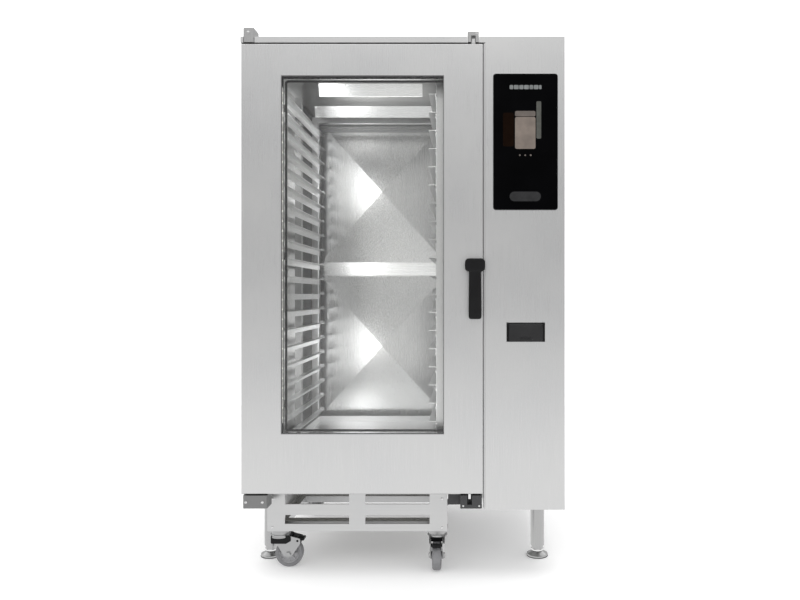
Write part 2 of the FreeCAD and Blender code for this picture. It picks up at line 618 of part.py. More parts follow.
def exhaust_vent():
    """Steam outlet: a tube from the cavity's ceiling up through the cover."""
    tube = rod_z(VENT_R, CEILING_Z, VENT_TOP_Z, VENT_X, VENT_Y)
    collar = rod_z(VENT_R + 14, BODY_TOP, BODY_TOP + 3, VENT_X, VENT_Y)
    return fuse(tube, collar).cut(
        rod_z(VENT_R - 2, CEILING_Z - 1, VENT_TOP_Z + 1, VENT_X, VENT_Y))


WATER_R, GLAND_R, CABLE_R = 13.2, 16.0, 9.0
WATER_INLET_X = (300.0, 360.0)
GLAND_X, INLET_Z = 450.0, 320.0


def service_connections():
    """Two threaded water inlets and the mains cable's gland, on the rear panel."""
    pieces = []
    for x in WATER_INLET_X:
        stub = rod_y(WATER_R, REAR_Y - 60, REAR_STUB_Y, x, INLET_Z)
        bore = rod_y(9, REAR_Y - 61, REAR_STUB_Y + 1, x, INLET_Z)
        valve = box(x - 22, x + 22, REAR_Y - 110, REAR_Y - 60, INLET_Z - 26, INLET_Z + 40)
        nut = rod_y(WATER_R + 7, REAR_Y, REAR_Y + 5, x, INLET_Z)
        pieces.append(fuse(stub, nut, valve).cut(bore))
    gland = rod_y(GLAND_R, REAR_Y - 22, REAR_STUB_Y, GLAND_X, INLET_Z)
    nut = rod_y(GLAND_R + 6, REAR_Y, REAR_Y + 5, GLAND_X, INLET_Z)
    hole = rod_y(CABLE_R, REAR_Y - 23, REAR_STUB_Y + 1, GLAND_X, INLET_Z)
    pieces.append(fuse(gland, nut).cut(hole))
    return group(*pieces)


# --- cabinet: controls ---------------------------------------------------------------
GLASS_FRONT_Y = -445.0


def display_glass():
    x0, x1, z0, z1 = DISPLAY
    return rounded_box(x0, x1, GLASS_FRONT_Y, FACE_Y, z0, z1, 8, AXIS_Y)


def display_housing():
    """Carrier behind the glass: a tray that fills the panel's cut-out."""
    x0, x1, z0, z1 = grown(DISPLAY, -12.5)
    body = box(x0, x1, FACE_Y, -398, z0, z1)
    body = body.cut(box(x0 + 3, x1 - 3, FACE_Y + 8, -397, z0 + 3, z1 - 3))
    ribs = [box(x0 + 2, x1 - 2, FACE_Y + 8, -400, z, z + 4) for z in (z0 + 110, z0 + 210, z0 + 310)]
    return fuse(body, *ribs)


def control_electronics():
    """Mounting plate with main board, relays and terminal rail."""
    plate = box(320, 520, -250, -247, 900, 1640)
    board = box(335, 505, -262, -260, 1330, 1600)
    standoffs = [rod_y(4, -260, -250, x, z) for x in (345, 495) for z in (1340, 1590)]
    parts = [plate, board, *standoffs]
    for i in range(3):
        z = 1200 - 85 * i
        parts.append(box(345, 405, -325, -250, z, z + 70))
        parts.append(box(425, 485, -315, -250, z, z + 70))
    chip = box(380, 440, -268, -262, 1440, 1500)
    rail = box(335, 505, -290, -250, 930, 965)
    return group(fuse(*parts, chip, rail))


FLAP_AXIS_Y, FLAP_AXIS_Z = -445.0, 851.0
FLAP_X = (348.0, 472.0)
FLAP_LOW_Z = 796.0
FLAP_T = 8.0
EAR_W = 5.0
FLAP_PIN_R = 2.0


def socket_pocket():
    """Recess with a probe socket and a data socket, a bezel and the flap's hinge pin."""
    x0, x1, z0, z1 = POCKET
    shell = box(x0, x1, FACE_Y, -398, z0, z1).cut(
        box(x0 + 2, x1 - 2, FACE_Y - 1, -400, z0 + 2, z1 - 2))
    bezel = ring_plate((FLAP_X[0] - 2, FLAP_X[1] + 2, FLAP_LOW_Z - 2, FLAP_AXIS_Z + 7),
                       (x0 + 2, x1 - 2, z0 + 2, z1 - 2), FACE_Y - 1, FACE_Y)
    ears = []
    for x in (FLAP_X[0], FLAP_X[1] - EAR_W):
        ear = box(x, x + EAR_W, FLAP_AXIS_Y - 5, FACE_Y - 1, FLAP_AXIS_Z - 6, FLAP_AXIS_Z + 7)
        ears.append(ear.cut(rod_x(FLAP_PIN_R, x - 1, x + EAR_W + 1, FLAP_AXIS_Y, FLAP_AXIS_Z)))
    body = fuse(shell, bezel, *ears)
    probe = rod_y(11, -418, -400, 385, 822).cut(rod_y(5, -419, -404, 385, 822))
    data = box(418, 444, -416, -400, 815, 829).cut(box(421, 441, -417, -404, 818.5, 825.5))
    pin = rod_x(FLAP_PIN_R, *FLAP_X, FLAP_AXIS_Y, FLAP_AXIS_Z)
    return group(body, probe, data, pin)


def socket_flap():
    """Cover of the sockets; it hangs from a pin along its top edge."""
    x0, x1 = FLAP_X[0] + EAR_W + 0.5, FLAP_X[1] - EAR_W - 0.5
    y0 = FLAP_AXIS_Y - FLAP_T / 2
    plate = box(x0, x1, y0, y0 + FLAP_T - 0.2, FLAP_LOW_Z, FLAP_AXIS_Z)
    barrel = rod_x(FLAP_T / 2 - 0.2, x0, x1, FLAP_AXIS_Y, FLAP_AXIS_Z)
    lip = box(x0 + 35, x1 - 35, y0 - 4, y0, FLAP_LOW_Z, FLAP_LOW_Z + 7)
    flap = fuse(plate, barrel, lip)
    return flap.cut(rod_x(FLAP_PIN_R + RUNNING_GAP, x0 - 1, x1 + 1, FLAP_AXIS_Y, FLAP_AXIS_Z))


def panel_screws():
    """Pan-head screws that hold the rear panel."""
    screws = []
    for x in (BODY_X0 + 16, -180.0, 180.0, BODY_X1 - 16):
        for z in (BODY_BOTTOM + 60, 760.0, 1250.0, TOP_SKIRT_Z - 25):
            screws.append(rod_y(6, REAR_Y, REAR_Y + 3, x, z))
    return group(*screws)


# --- door -----------------------------------------------------------------------------
def door_outer_panel():
    """Front skin of the door, folded back along its edge and into the window."""
    shell = box(DOOR_X0, DOOR_X1, FACE_Y, DOOR_STEP_Y, DOOR_Z0, DOOR_Z1)
    inner = grown(DOOR, -SHEET)
    shell = shell.cut(box(inner[0], inner[1], FACE_Y + SHEET, DOOR_STEP_Y + 1, inner[2], inner[3]))
    shell = shell.cut(box(WINDOW_X0, WINDOW_X1, FACE_Y - 1, FACE_Y + SHEET + 1,
                          WINDOW_Z0, WINDOW_Z1))
    shell = round_edges(shell, 3.5, lambda e: abs(e.CenterOfMass.y - FACE_Y) < 0.01
                        and e.Length > 700 and on_outline(e))
    for z in (DOOR_Z0, DOOR_Z1):
        shell = shell.cut(rod_z(HINGE_PIN_R + 2, z - 3, z + 3, HINGE_X, HINGE_Y))
    shell = shell.cut(rod_slot(UPPER_ROD_X, DOOR_Z1 - 3, DOOR_Z1 + 1, 0.5))
    shell = shell.cut(rod_slot(LOWER_ROD_X, DOOR_Z0 - 1, DOOR_Z0 + 3, 0.5))
    return shell.cut(rod_y(SPINDLE_R + 2, FACE_Y - 1, FACE_Y + SHEET + 1, HANDLE_X, HANDLE_Z))


def on_outline(edge):
    """True for the four long edges around the door's front face."""
    c = edge.CenterOfMass
    return (abs(c.x - DOOR_X0) < 0.01 or abs(c.x - DOOR_X1) < 0.01
            or abs(c.z - DOOR_Z0) < 0.01 or abs(c.z - DOOR_Z1) < 0.01)


INNER = (-515.0, 250.0, 298.0, 1775.0)
INNER_OPENING = grown(WINDOW, 10)
GLASS_T = 6.0
PANE_OUTER_Y = -437.0
PANE_INNER_Y = -373.0


def door_inner_panel():
    """Hat-shaped back of the door: a flange, a step and the frame around the inner pane."""
    flange = ring_plate(grown(DOOR, -SHEET), INNER, DOOR_STEP_Y - SHEET, DOOR_STEP_Y)
    step = ring_plate(INNER, grown(INNER, -SHEET), DOOR_STEP_Y - SHEET, DOOR_BACK_Y)
    face = ring_plate(INNER, INNER_OPENING, DOOR_BACK_Y - 2, DOOR_BACK_Y)
    return fuse(flange, step, face)


def door_glass_outer():
    x0, x1, z0, z1 = grown(WINDOW, 15)
    return rounded_box(x0, x1, PANE_OUTER_Y, PANE_OUTER_Y + GLASS_T, z0, z1, 5, AXIS_Y)


def door_glass_inner():
    x0, x1, z0, z1 = grown(WINDOW, 22)
    return rounded_box(x0, x1, PANE_INNER_Y, PANE_INNER_Y + GLASS_T, z0, z1, 5, AXIS_Y)


def glass_seals():
    """Flat seal in front of the outer pane and a spacer frame behind it."""
    front = ring_plate(grown(WINDOW, 14), WINDOW, FACE_Y + SHEET, PANE_OUTER_Y)
    y0 = PANE_OUTER_Y + GLASS_T
    spacer = ring_plate(grown(WINDOW, 14), grown(WINDOW, 3), y0, y0 + 10)
    inner = ring_plate(grown(WINDOW, 21), grown(WINDOW, 11), PANE_INNER_Y - 8, PANE_INNER_Y)
    return group(front, spacer, inner)


def door_led_strips():
    """Light bars left and right of the window, between the panes."""
    y0 = PANE_OUTER_Y + GLASS_T + 12
    z0, z1 = WINDOW_Z0 + 30, WINDOW_Z1 - 30
    return group(*[box(x, x + 9, y0, y0 + 22, z0, z1)
                   for x in (WINDOW_X0 - 13, WINDOW_X1 + 4)])


def door_hinge_bushes():
    """Bearing blocks in the door's corners, with the bores that turn on the pins."""
    blocks = []
    for z0, z1, bore0, bore1 in (
        (DOOR_Z1 - SHEET - 40, DOOR_Z1 - SHEET, DOOR_Z1 - 32, DOOR_Z1),
        (DOOR_Z0 + SHEET, DOOR_Z0 + SHEET + 40, DOOR_Z0, DOOR_Z0 + 30),
    ):
        block = box(HINGE_X - 18, HINGE_X + 18, HINGE_Y - 17, HINGE_Y + 17, z0, z1)
        bore = rod_z(HINGE_PIN_R + RUNNING_GAP, bore0, bore1, HINGE_X, HINGE_Y)
        blocks.append(block.cut(bore))
    return group(*blocks)


# --- lock: spindle, pinion, rods and case --------------------------------------------
SPINDLE_R = 8.0
TAIL_R = 6.0
CASE = (206.0, 266.0, 992.0, 1116.0)
CASE_Y = (-438.5, -412.0)
ROD_Y = -426.0
GEAR_Y = (-431.0, -421.0)
ADDENDUM = 0.8 * MODULE
DEDENDUM = 1.0 * MODULE
BACKLASH = 0.2
RACK_BAR = 8.0           # width of the toothed part behind the roots


def involute_point(base_r, r):
    """Angle of the involute at radius r."""
    if r <= base_r:
        return 0.0
    pressure = math.acos(base_r / r)
    return math.tan(pressure) - pressure


def pinion():
    """Spur pinion with involute flanks, one tooth pointing along +X."""
    base_r = PINION_R * math.cos(PRESSURE_ANGLE)
    root_r, tip_r = PINION_R - DEDENDUM, PINION_R + ADDENDUM
    half_tooth = (math.pi * MODULE / 2 - BACKLASH) / (2 * PINION_R)
    offset = half_tooth + involute_point(base_r, PINION_R)
    steps = 5
    points = []
    for tooth in range(PINION_TEETH):
        centre = 2 * math.pi * tooth / PINION_TEETH
        flank = [(root_r, offset)]
        for i in range(steps + 1):
            r = max(base_r, root_r) + (tip_r - max(base_r, root_r)) * i / steps
            flank.append((r, offset - involute_point(base_r, r)))
        outline = [(r, -a) for r, a in flank] + [(r, a) for r, a in reversed(flank)]
        for r, a in outline:
            points.append(Vector(HANDLE_X + r * math.cos(centre + a), GEAR_Y[0],
                                 HANDLE_Z + r * math.sin(centre + a)))
    face = Part.Face(Part.makePolygon(points + points[:1]))
    return face.extrude(Vector(0, GEAR_Y[1] - GEAR_Y[0], 0))


def rack(side, z0, z1):
    """Toothed bar beside the pinion; side is +1 on its right and -1 on its left."""
    step = math.pi * MODULE
    slope = math.tan(PRESSURE_ANGLE)
    half = (step / 2 - BACKLASH) / 2
    y0 = ROD_Y - ROD_THICK / 2
    pitch_x = HANDLE_X + side * PINION_R
    root_x = pitch_x + side * DEDENDUM
    tip_x = pitch_x - side * ADDENDUM
    bar = box(min(root_x, root_x + side * RACK_BAR), max(root_x, root_x + side * RACK_BAR),
              y0, y0 + ROD_THICK, z0, z1)
    teeth = []
    count = int((z1 - z0) / 2 / step)
    for i in range(-count, count):
        z = HANDLE_Z + (i + 0.5) * step
        if z - step / 2 < z0 or z + step / 2 > z1:
            continue
        root_half, tip_half = half + DEDENDUM * slope, half - ADDENDUM * slope
        corners = [(root_x, z - root_half), (tip_x, z - tip_half),
                   (tip_x, z + tip_half), (root_x, z + root_half)]
        points = [Vector(x, y0, tz) for x, tz in corners]
        face = Part.Face(Part.makePolygon(points + points[:1]))
        teeth.append(face.extrude(Vector(0, ROD_THICK, 0)))
    return fuse(bar, *teeth)


def lock_rod_upper():
    """Rack right of the pinion, a bridge, and the rod up to the upper striker."""
    x_out = HANDLE_X + PINION_R + DEDENDUM + RACK_BAR
    y0, y1 = ROD_Y - ROD_THICK / 2, ROD_Y + ROD_THICK / 2
    bridge_z = HANDLE_Z + 38
    bridge = box(UPPER_ROD_X - 5, x_out, y0, y1, bridge_z, bridge_z + 12)
    rod = box(UPPER_ROD_X - 5, UPPER_ROD_X + 5, y0, y1, bridge_z, UPPER_ROD_TOP)
    return fuse(rack(1, HANDLE_Z - 25, bridge_z + 12), bridge, rod)


def lock_rod_lower():
    """Rack left of the pinion and the rod down to the lower striker."""
    y0, y1 = ROD_Y - ROD_THICK / 2, ROD_Y + ROD_THICK / 2
    rod = box(LOWER_ROD_X - 4, LOWER_ROD_X + 4, y0, y1, LOWER_ROD_LOW, HANDLE_Z - 40)
    return fuse(rack(-1, HANDLE_Z - 45, HANDLE_Z + 25), rod)


def lock_case():
    """Steel case around the pinion, and the guides that keep the rods straight."""
    x0, x1, z0, z1 = CASE
    case = box(x0, x1, *CASE_Y, z0, z1).cut(
        box(x0 + 2, x1 - 2, CASE_Y[0] + 2, CASE_Y[1] - 2, z0 + 2, z1 - 2))
    case = case.cut(rod_y(SPINDLE_R + RUNNING_GAP, CASE_Y[0] - 1, CASE_Y[0] + 3,
                          HANDLE_X, HANDLE_Z))
    case = case.cut(rod_y(TAIL_R + RUNNING_GAP, CASE_Y[1] - 3, CASE_Y[1] + 1,
                          HANDLE_X, HANDLE_Z))
    case = case.cut(rod_slot(UPPER_ROD_X, z1 - 3, z1 + 1, 0.5))
    case = case.cut(rod_slot(LOWER_ROD_X, z0 - 1, z0 + 3, 0.5))
    guides = []
    for rod_x0, z in ((UPPER_ROD_X, 1350.0), (UPPER_ROD_X, 1690.0),
                      (LOWER_ROD_X, 700.0), (LOWER_ROD_X, 400.0)):
        guide = box(rod_x0 - 12, rod_x0 + 12, CASE_Y[0], CASE_Y[1], z, z + 20)
        guides.append(guide.cut(rod_slot(rod_x0, z - 1, z + 21, 0.3)))
    return group(case, *guides)


def handle_spindle():
    """Shaft of the handle with its pinion and tail journal."""
    front = rod_y(SPINDLE_R, -460, GEAR_Y[0], HANDLE_X, HANDLE_Z)
    core = rod_y(PINION_R - DEDENDUM - 0.5, *GEAR_Y, HANDLE_X, HANDLE_Z)
    tail = rod_y(TAIL_R, GEAR_Y[1], CASE_Y[1] + 2, HANDLE_X, HANDLE_Z)
    return fuse(pinion(), front, core, tail)


def door_handle():
    """Lever: a hub on the spindle and a grip that hangs down in front of the door."""
    plate_r, neck_r = 17.0, 14.5
    head_half_w, grip_half_w = 33.0, 21.5
    head_z = (HANDLE_Z - 26, HANDLE_Z + plate_r)
    grip_back_y = HANDLE_FRONT_Y + 24
    head = box(HANDLE_X - head_half_w, HANDLE_X + head_half_w, HANDLE_FRONT_Y, grip_back_y, *head_z)
    head = round_edges(head, 10, lambda e: edge_runs(e, AXIS_Y))
    neck = rod_y(neck_r, grip_back_y, FACE_Y - 6, HANDLE_X, HANDLE_Z)
    plate = rod_y(plate_r, FACE_Y - 6, FACE_Y - 1, HANDLE_X, HANDLE_Z)
    grip = box(HANDLE_X - grip_half_w, HANDLE_X + grip_half_w, HANDLE_FRONT_Y, grip_back_y,
               HANDLE_LOW_Z, HANDLE_Z)
    grip = round_edges(grip, 8, lambda e: edge_runs(e, AXIS_Z))
    lever = fuse(head, neck, plate, grip)
    return lever.cut(rod_y(SPINDLE_R, -460, FACE_Y, HANDLE_X, HANDLE_Z))


# --- rack trolley ------------------------------------------------------------------------
BASE_Z0, BASE_Z1 = 134.0, 158.0
BASE_TUBE_W = 40.0
LADDER_Y = (FLANGE_Y, FLANGE_Y + 6.0)
LADDER_ROWS = [(159.0, 190.0), (227.0, 262.0)]
LADDER_SLOT = (28.0, 250.0)    # ends of a slot from the middle
SEAL_PLATE_Z = (267.0, 392.0)


def rack_x(offset):
    return CAVITY_X + offset


def castor_places():
    """Name, swivel centre x and y, and the direction of the trail in degrees."""
    places = []
    for end, y in CASTOR_Y.items():
        for hand, sign in (("left", -1), ("right", 1)):
            place = f"{end}_{hand}"
            places.append((place, rack_x(sign * CASTOR_HALF_TRACK), y, CASTOR_TURN[place]))
    return places


def trolley_base():
    """Chassis tubes with the four castor plates and their kingpins."""
    y0, y1 = RACK_Y0 + POST, TROLLEY_REAR_Y
    pieces = []
    for sign in (-1, 1):
        edge = sign * (CASTOR_HALF_TRACK + BASE_TUBE_W / 2)
        x0 = rack_x(min(edge, edge - sign * BASE_TUBE_W))
        pieces.append(tube_along("y", x0, x0 + BASE_TUBE_W, y0, y1, BASE_Z0, BASE_Z1))
    half = CASTOR_HALF_TRACK - BASE_TUBE_W / 2
    for y in (y0, -20.0, y1 - BASE_TUBE_W):
        pieces.append(tube_along("x", rack_x(-half), rack_x(half), y, y + BASE_TUBE_W,
                                 BASE_Z0, BASE_Z1))
    for _, x, y, _ in castor_places():
        plate = box(x - 36, x + 36, y - 33, y + 33, CASTOR_H, BASE_Z0)
        kingpin = rod_z(KINGPIN_R, CASTOR_H - 23, CASTOR_H, x, y)
        button = rod_z(12, CASTOR_H - 27, CASTOR_H - 23, x, y)
        pieces.append(fuse(plate, kingpin, button))
    return group(*pieces)


def trolley_front_frame():
    """Slotted front of the chassis, seen below the door."""
    x0, x1 = rack_x(-LADDER_HALF_W), rack_x(LADDER_HALF_W)
    plate = box(x0, x1, *LADDER_Y, BASE_Z0, SEAL_PLATE_Z[0])
    for z0, z1 in LADDER_ROWS:
        for sign in (-1, 1):
            a, b = sign * LADDER_SLOT[0], sign * LADDER_SLOT[1]
            plate = plate.cut(box(rack_x(min(a, b)), rack_x(max(a, b)),
                                  LADDER_Y[0] - 1, LADDER_Y[1] + 1, z0, z1))
    return plate


def trolley_seal_plate():
    """Plate that closes the mouth below the cavity floor, with a rear rubber lip."""
    x0, x1 = rack_x(-LADDER_HALF_W), rack_x(LADDER_HALF_W)
    plate = box(x0, x1, FLANGE_Y, LADDER_Y[1], *SEAL_PLATE_Z)
    fold = box(x0, x1, LADDER_Y[1], LADDER_Y[1] + 12, SEAL_PLATE_Z[0], SEAL_PLATE_Z[0] + 3)
    sheet = fuse(plate, fold)
    for sign in (-1, 1):
        middle = rack_x(sign * (POST_X + POST / 2))
        sheet = sheet.cut(box(middle - POST / 2, middle + POST / 2, RACK_Y0, RACK_Y0 + POST,
                              SEAL_PLATE_Z[0] - 1, SEAL_PLATE_Z[0] + 4))
    return sheet


PAN_Z0, PAN_Z1 = 395.0, 420.0
PAN_HALF_W = 268.0


def trolley_drip_pan():
    """Shallow pan across the rack's foot."""
    x0, x1 = rack_x(-PAN_HALF_W), rack_x(PAN_HALF_W)
    pan = box(x0, x1, RACK_Y0, RACK_Y1, PAN_Z0, PAN_Z1)
    return pan.cut(box(x0 + 2, x1 - 2, RACK_Y0 + 2, RACK_Y1 - 2, PAN_Z0 + 2, PAN_Z1 + 1))


POST_TOP_Z = 1722.0
POST_X = WEB_X + RUNNER_SHEET
POST_YS = (RACK_Y0, -30.0, RACK_Y1 - POST)


def rack_uprights():
    """Posts, side rails and the bars that join both sides over the top."""
    pieces = []
    for sign in (-1, 1):
        a, b = sign * POST_X, sign * (POST_X + POST)
        x0, x1 = rack_x(min(a, b)), rack_x(max(a, b))
        pieces.append(tube_along("z", x0, x1, RACK_Y0, RACK_Y0 + POST, BASE_Z0, POST_TOP_Z))
        for y in POST_YS[1:]:
            pieces.append(tube_along("z", x0, x1, y, y + POST, PAN_Z1, POST_TOP_Z))
        pieces.append(tube_along("y", x0, x1, RACK_Y0 + POST, RACK_Y1, PAN_Z0, PAN_Z1))
    half = POST_X
    for y in (RACK_Y0, RACK_Y1 - POST):
        pieces.append(tube_along("x", rack_x(-half), rack_x(half), y, y + POST,
                                 POST_TOP_Z - POST, POST_TOP_Z))
    return group(*pieces)


def rack_runners():
    """A pair of angle runners for each tray level, with a raised stop at the back."""
    runners = []
    for level in range(LEVELS):
        z = FIRST_LEVEL_Z + PITCH * level
        for sign in (-1, 1):
            web = sorted((rack_x(sign * WEB_X), rack_x(sign * (WEB_X + RUNNER_SHEET))))
            ledge = sorted((rack_x(sign * LEDGE_HALF_GAP), rack_x(sign * WEB_X)))
            runners.append(fuse(
                box(*web, RACK_Y0, RACK_Y1, z - RUNNER_WEB_H, z),
                box(*ledge, RACK_Y0, RACK_Y1, z - RUNNER_SHEET, z),
            ))
    return group(*runners)


# --- castors ---------------------------------------------------------------------------
FORK_HALF_W = 20.0
BRAKE_PIVOT = (64.0, 94.0)
BRAKE_PIN_R = 4.0


def turned(shape, x, y, trail):
    """A castor piece modelled with its trail along +X, put at its place."""
    shape = shape.copy()
    shape.rotate(Vector(0, 0, 0), AXIS_Z, trail)
    shape.translate(Vector(x, y, 0))
    return shape


def castor_fork(braked):
    """Swivel head, yoke and axle bolt; a braked one has holes for the pedal's pin."""
    z0 = CASTOR_H - 22
    pedal_x, pedal_z = BRAKE_PIVOT
    head = rod_z(30, z0, CASTOR_H, 0, 0)
    yoke = box(-24, 30, -FORK_HALF_W - 3, FORK_HALF_W + 3, z0, z0 + 5)
    cheeks = []
    for y in (-FORK_HALF_W - 3, FORK_HALF_W):
        points = [Vector(x, y, z) for x, z in (
            (-24, z0), (CASTOR_TRAIL - 14, WHEEL_R - 8), (CASTOR_TRAIL + 12, WHEEL_R - 8),
            (pedal_x + 9, pedal_z - 10), (pedal_x + 9, pedal_z + 7), (36, z0 + 3), (-24, z0 + 3))]
        face = Part.Face(Part.makePolygon(points + points[:1]))
        cheeks.append(face.extrude(Vector(0, 3, 0)))
    axle = rod_y(AXLE_R, -FORK_HALF_W - 8, FORK_HALF_W + 8, CASTOR_TRAIL, WHEEL_R)
    fork = fuse(head, yoke, *cheeks, axle)
    if braked:
        reach = FORK_HALF_W + 4
        fork = fork.cut(rod_y(BRAKE_PIN_R + RUNNING_GAP, -reach, reach, *BRAKE_PIVOT))
    return fork.cut(rod_z(KINGPIN_R + RUNNING_GAP, z0 - 1, CASTOR_H + 1, 0, 0))


def castor_wheel():
    """Rubber-tyred wheel on a running bore."""
    half = WHEEL_W / 2
    tyre = rod_y(WHEEL_R, -half, half, CASTOR_TRAIL, WHEEL_R)
    tyre = round_edges(tyre, 5, lambda e: e.Length > 100)
    for y0, y1 in ((-half - 1, -half + 6), (half - 6, half + 1)):
        recess = rod_y(WHEEL_R - 12, y0, y1, CASTOR_TRAIL, WHEEL_R)
        tyre = tyre.cut(recess)
    hub = rod_y(13, -FORK_HALF_W + 0.5, FORK_HALF_W - 0.5, CASTOR_TRAIL, WHEEL_R)
    wheel = fuse(tyre, hub)
    return wheel.cut(rod_y(AXLE_R + RUNNING_GAP, -40, 40, CASTOR_TRAIL, WHEEL_R))


def castor_brake():
    """Foot pedal above the wheel's trailing side, pressed down to hold the wheel."""
    x, z = BRAKE_PIVOT
    reach = FORK_HALF_W + 3
    pin = rod_y(BRAKE_PIN_R, -reach, reach, x, z)
    boss = rod_y(6, -FORK_HALF_W + 1, FORK_HALF_W - 1, x, z)
    cam = box(x - 2, x + 6, -WHEEL_W / 2, WHEEL_W / 2, z - 7, z)
    tread = box(x, x + 22, -15, 15, z - 1, z + 6)
    tread = round_edges(tread, 3, lambda e: e.CenterOfMass.x > x + 21.9)
    return fuse(pin, boss, cam, tread)


# --- export ----------------------------------------------------------------------------
def nodes():
    """Every sub-part by its node name."""
    made = {f.__name__: f() for f in (
        base_frame, leg_tubes, levelling_feet, left_side_panel, right_side_panel, rear_panel,
        top_cover, column_base_plate, mouth_frame, column_front_panel, cavity_liner,
        cavity_back_wall, air_baffle, insulation, door_gasket, hinge_brackets, lock_strikers,
        fan_motors, heating_elements, steam_generator, steam_pipe, drain_box, exhaust_vent,
        service_connections, display_glass, display_housing, control_electronics,
        socket_pocket, socket_flap, panel_screws, door_outer_panel, door_inner_panel,
        door_glass_outer, door_glass_inner, glass_seals, door_led_strips, door_hinge_bushes,
        lock_case, lock_rod_upper, lock_rod_lower, handle_spindle, door_handle, trolley_base,
        trolley_front_frame, trolley_seal_plate, trolley_drip_pan, rack_uprights, rack_runners,
    )}
    for name, z in FAN_Z.items():
        made[f"fan_wheel_{name}"] = fan_wheel(z)
    for place, x, y, trail in castor_places():
        braked = place.startswith("front")
        made[f"castor_fork_{place}"] = turned(castor_fork(braked), x, y, trail)
        made[f"castor_wheel_{place}"] = turned(castor_wheel(), x, y, trail)
        if braked:
            made[f"castor_brake_{place}"] = turned(castor_brake(), x, y, trail)
    return made


def main():
    os.makedirs("parts", exist_ok=True)
    for name, shape in nodes().items():
        if not shape.isValid():
            print("not valid:", name)
        print(name, len(shape.Solids), round(shape.Volume))
        shape.exportStep(f"parts/{name}.step")


main()
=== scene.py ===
"""Looks of the combi steamer oven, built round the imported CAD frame. Metres, +Z up, the door faces -Y."""
import json
import math

import bmesh
import bpy
from mathutils import Matrix, Vector


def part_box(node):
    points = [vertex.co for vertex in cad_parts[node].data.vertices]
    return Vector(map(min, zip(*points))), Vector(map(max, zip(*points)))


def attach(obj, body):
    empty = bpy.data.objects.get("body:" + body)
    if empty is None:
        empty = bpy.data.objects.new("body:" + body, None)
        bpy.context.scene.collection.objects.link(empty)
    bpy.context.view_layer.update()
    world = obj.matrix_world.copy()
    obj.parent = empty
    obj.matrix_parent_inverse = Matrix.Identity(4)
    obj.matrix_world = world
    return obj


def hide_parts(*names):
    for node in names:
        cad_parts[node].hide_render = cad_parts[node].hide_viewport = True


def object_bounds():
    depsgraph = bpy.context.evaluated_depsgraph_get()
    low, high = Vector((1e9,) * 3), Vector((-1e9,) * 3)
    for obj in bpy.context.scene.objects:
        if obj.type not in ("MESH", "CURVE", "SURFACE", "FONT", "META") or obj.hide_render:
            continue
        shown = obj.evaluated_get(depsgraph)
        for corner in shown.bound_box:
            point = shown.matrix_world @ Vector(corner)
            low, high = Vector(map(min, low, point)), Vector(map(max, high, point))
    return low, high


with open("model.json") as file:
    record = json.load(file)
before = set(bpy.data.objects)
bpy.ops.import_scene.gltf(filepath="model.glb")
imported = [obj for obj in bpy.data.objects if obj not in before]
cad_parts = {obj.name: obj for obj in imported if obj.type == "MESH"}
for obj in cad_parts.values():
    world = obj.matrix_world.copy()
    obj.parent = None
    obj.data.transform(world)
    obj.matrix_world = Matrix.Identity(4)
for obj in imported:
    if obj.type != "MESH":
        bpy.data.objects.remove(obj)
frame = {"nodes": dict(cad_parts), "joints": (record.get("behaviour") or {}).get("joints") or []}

CAD_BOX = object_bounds()
JOINTS = {joint["name"]: joint for joint in frame["joints"]}
NODES = frame["nodes"]
MM = 0.001
CORNER_STEPS = 6                          # facets of a rounded corner

# Places and sizes of the oven that the frame doesn't state, in metres.
WINDOW = (-0.405, 0.138, 0.486, 1.681)    # x and z of the opening in the door's front
STRIP_DEPTH = 9.0 * MM                    # lamp strips, from their foot to their lit face
CAVITY_MIDDLE_X = -0.165
CAVITY_BACK_Y = 0.35                      # front of the back wall
CEILING_Z = 1.7446
WALL_SEAM_Z = 1.0335                      # seam between the two fields of the back wall
LOUVRE_ROWS, LOUVRE_PITCH = 8, 0.022
LOUVRE_FIELDS_Z = (0.56, 1.40)
LOUVRE_X, LOUVRE_HALF_W = 0.365, 0.119
VENT_PLACE, VENT_R = (-0.1, 0.28), 30.5 * MM
FOOT_R = 38.0 * MM
TRAY_LEVELS, TRAY_PITCH = 20, 0.063
RUNNER_DROP = 22.0 * MM                   # from a runner's lower edge to the face that carries the tray
POST_Y = (-0.3345, -0.0175, 0.2775)       # middles of the rack's posts
MIDDLE_POST_REACH = 0.2                   # everything of the uprights nearer the middle is a middle post
CASTOR_TRAIL, WHEEL_R = 32.0 * MM, 48.0 * MM
CASTORS = ("front_left", "front_right", "rear_left", "rear_right")
BRAKED_CASTORS = CASTORS[:2]


# --- mesh helpers ---------------------------------------------------------------------
def lo_hi(node):
    """A CAD node's box as six numbers: x0, x1, y0, y1, z0, z1."""
    lo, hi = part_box(node)
    return lo.x, hi.x, lo.y, hi.y, lo.z, hi.z


def finish_piece(name, bm, body, material, bevel=0.0, segments=3, angle=35, smooth=True):
    """Turns a bmesh into a piece that rides on a body."""
    bmesh.ops.remove_doubles(bm, verts=bm.verts, dist=1e-6)
    bmesh.ops.recalc_face_normals(bm, faces=bm.faces)
    mesh = bpy.data.meshes.new(name)
    bm.to_mesh(mesh)
    bm.free()
    obj = bpy.data.objects.new(name, mesh)
    bpy.context.scene.collection.objects.link(obj)
    mesh.materials.append(material)
    if smooth:
        for polygon in mesh.polygons:
            polygon.use_smooth = True
        mesh.set_sharp_from_angle(angle=math.radians(angle))
    if bevel:
        modifier = obj.modifiers.new("edges", "BEVEL")
        modifier.width = bevel
        modifier.segments = segments
        modifier.limit_method = "ANGLE"
        modifier.angle_limit = math.radians(angle)
        modifier.harden_normals = True
    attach(obj, body)
    return obj


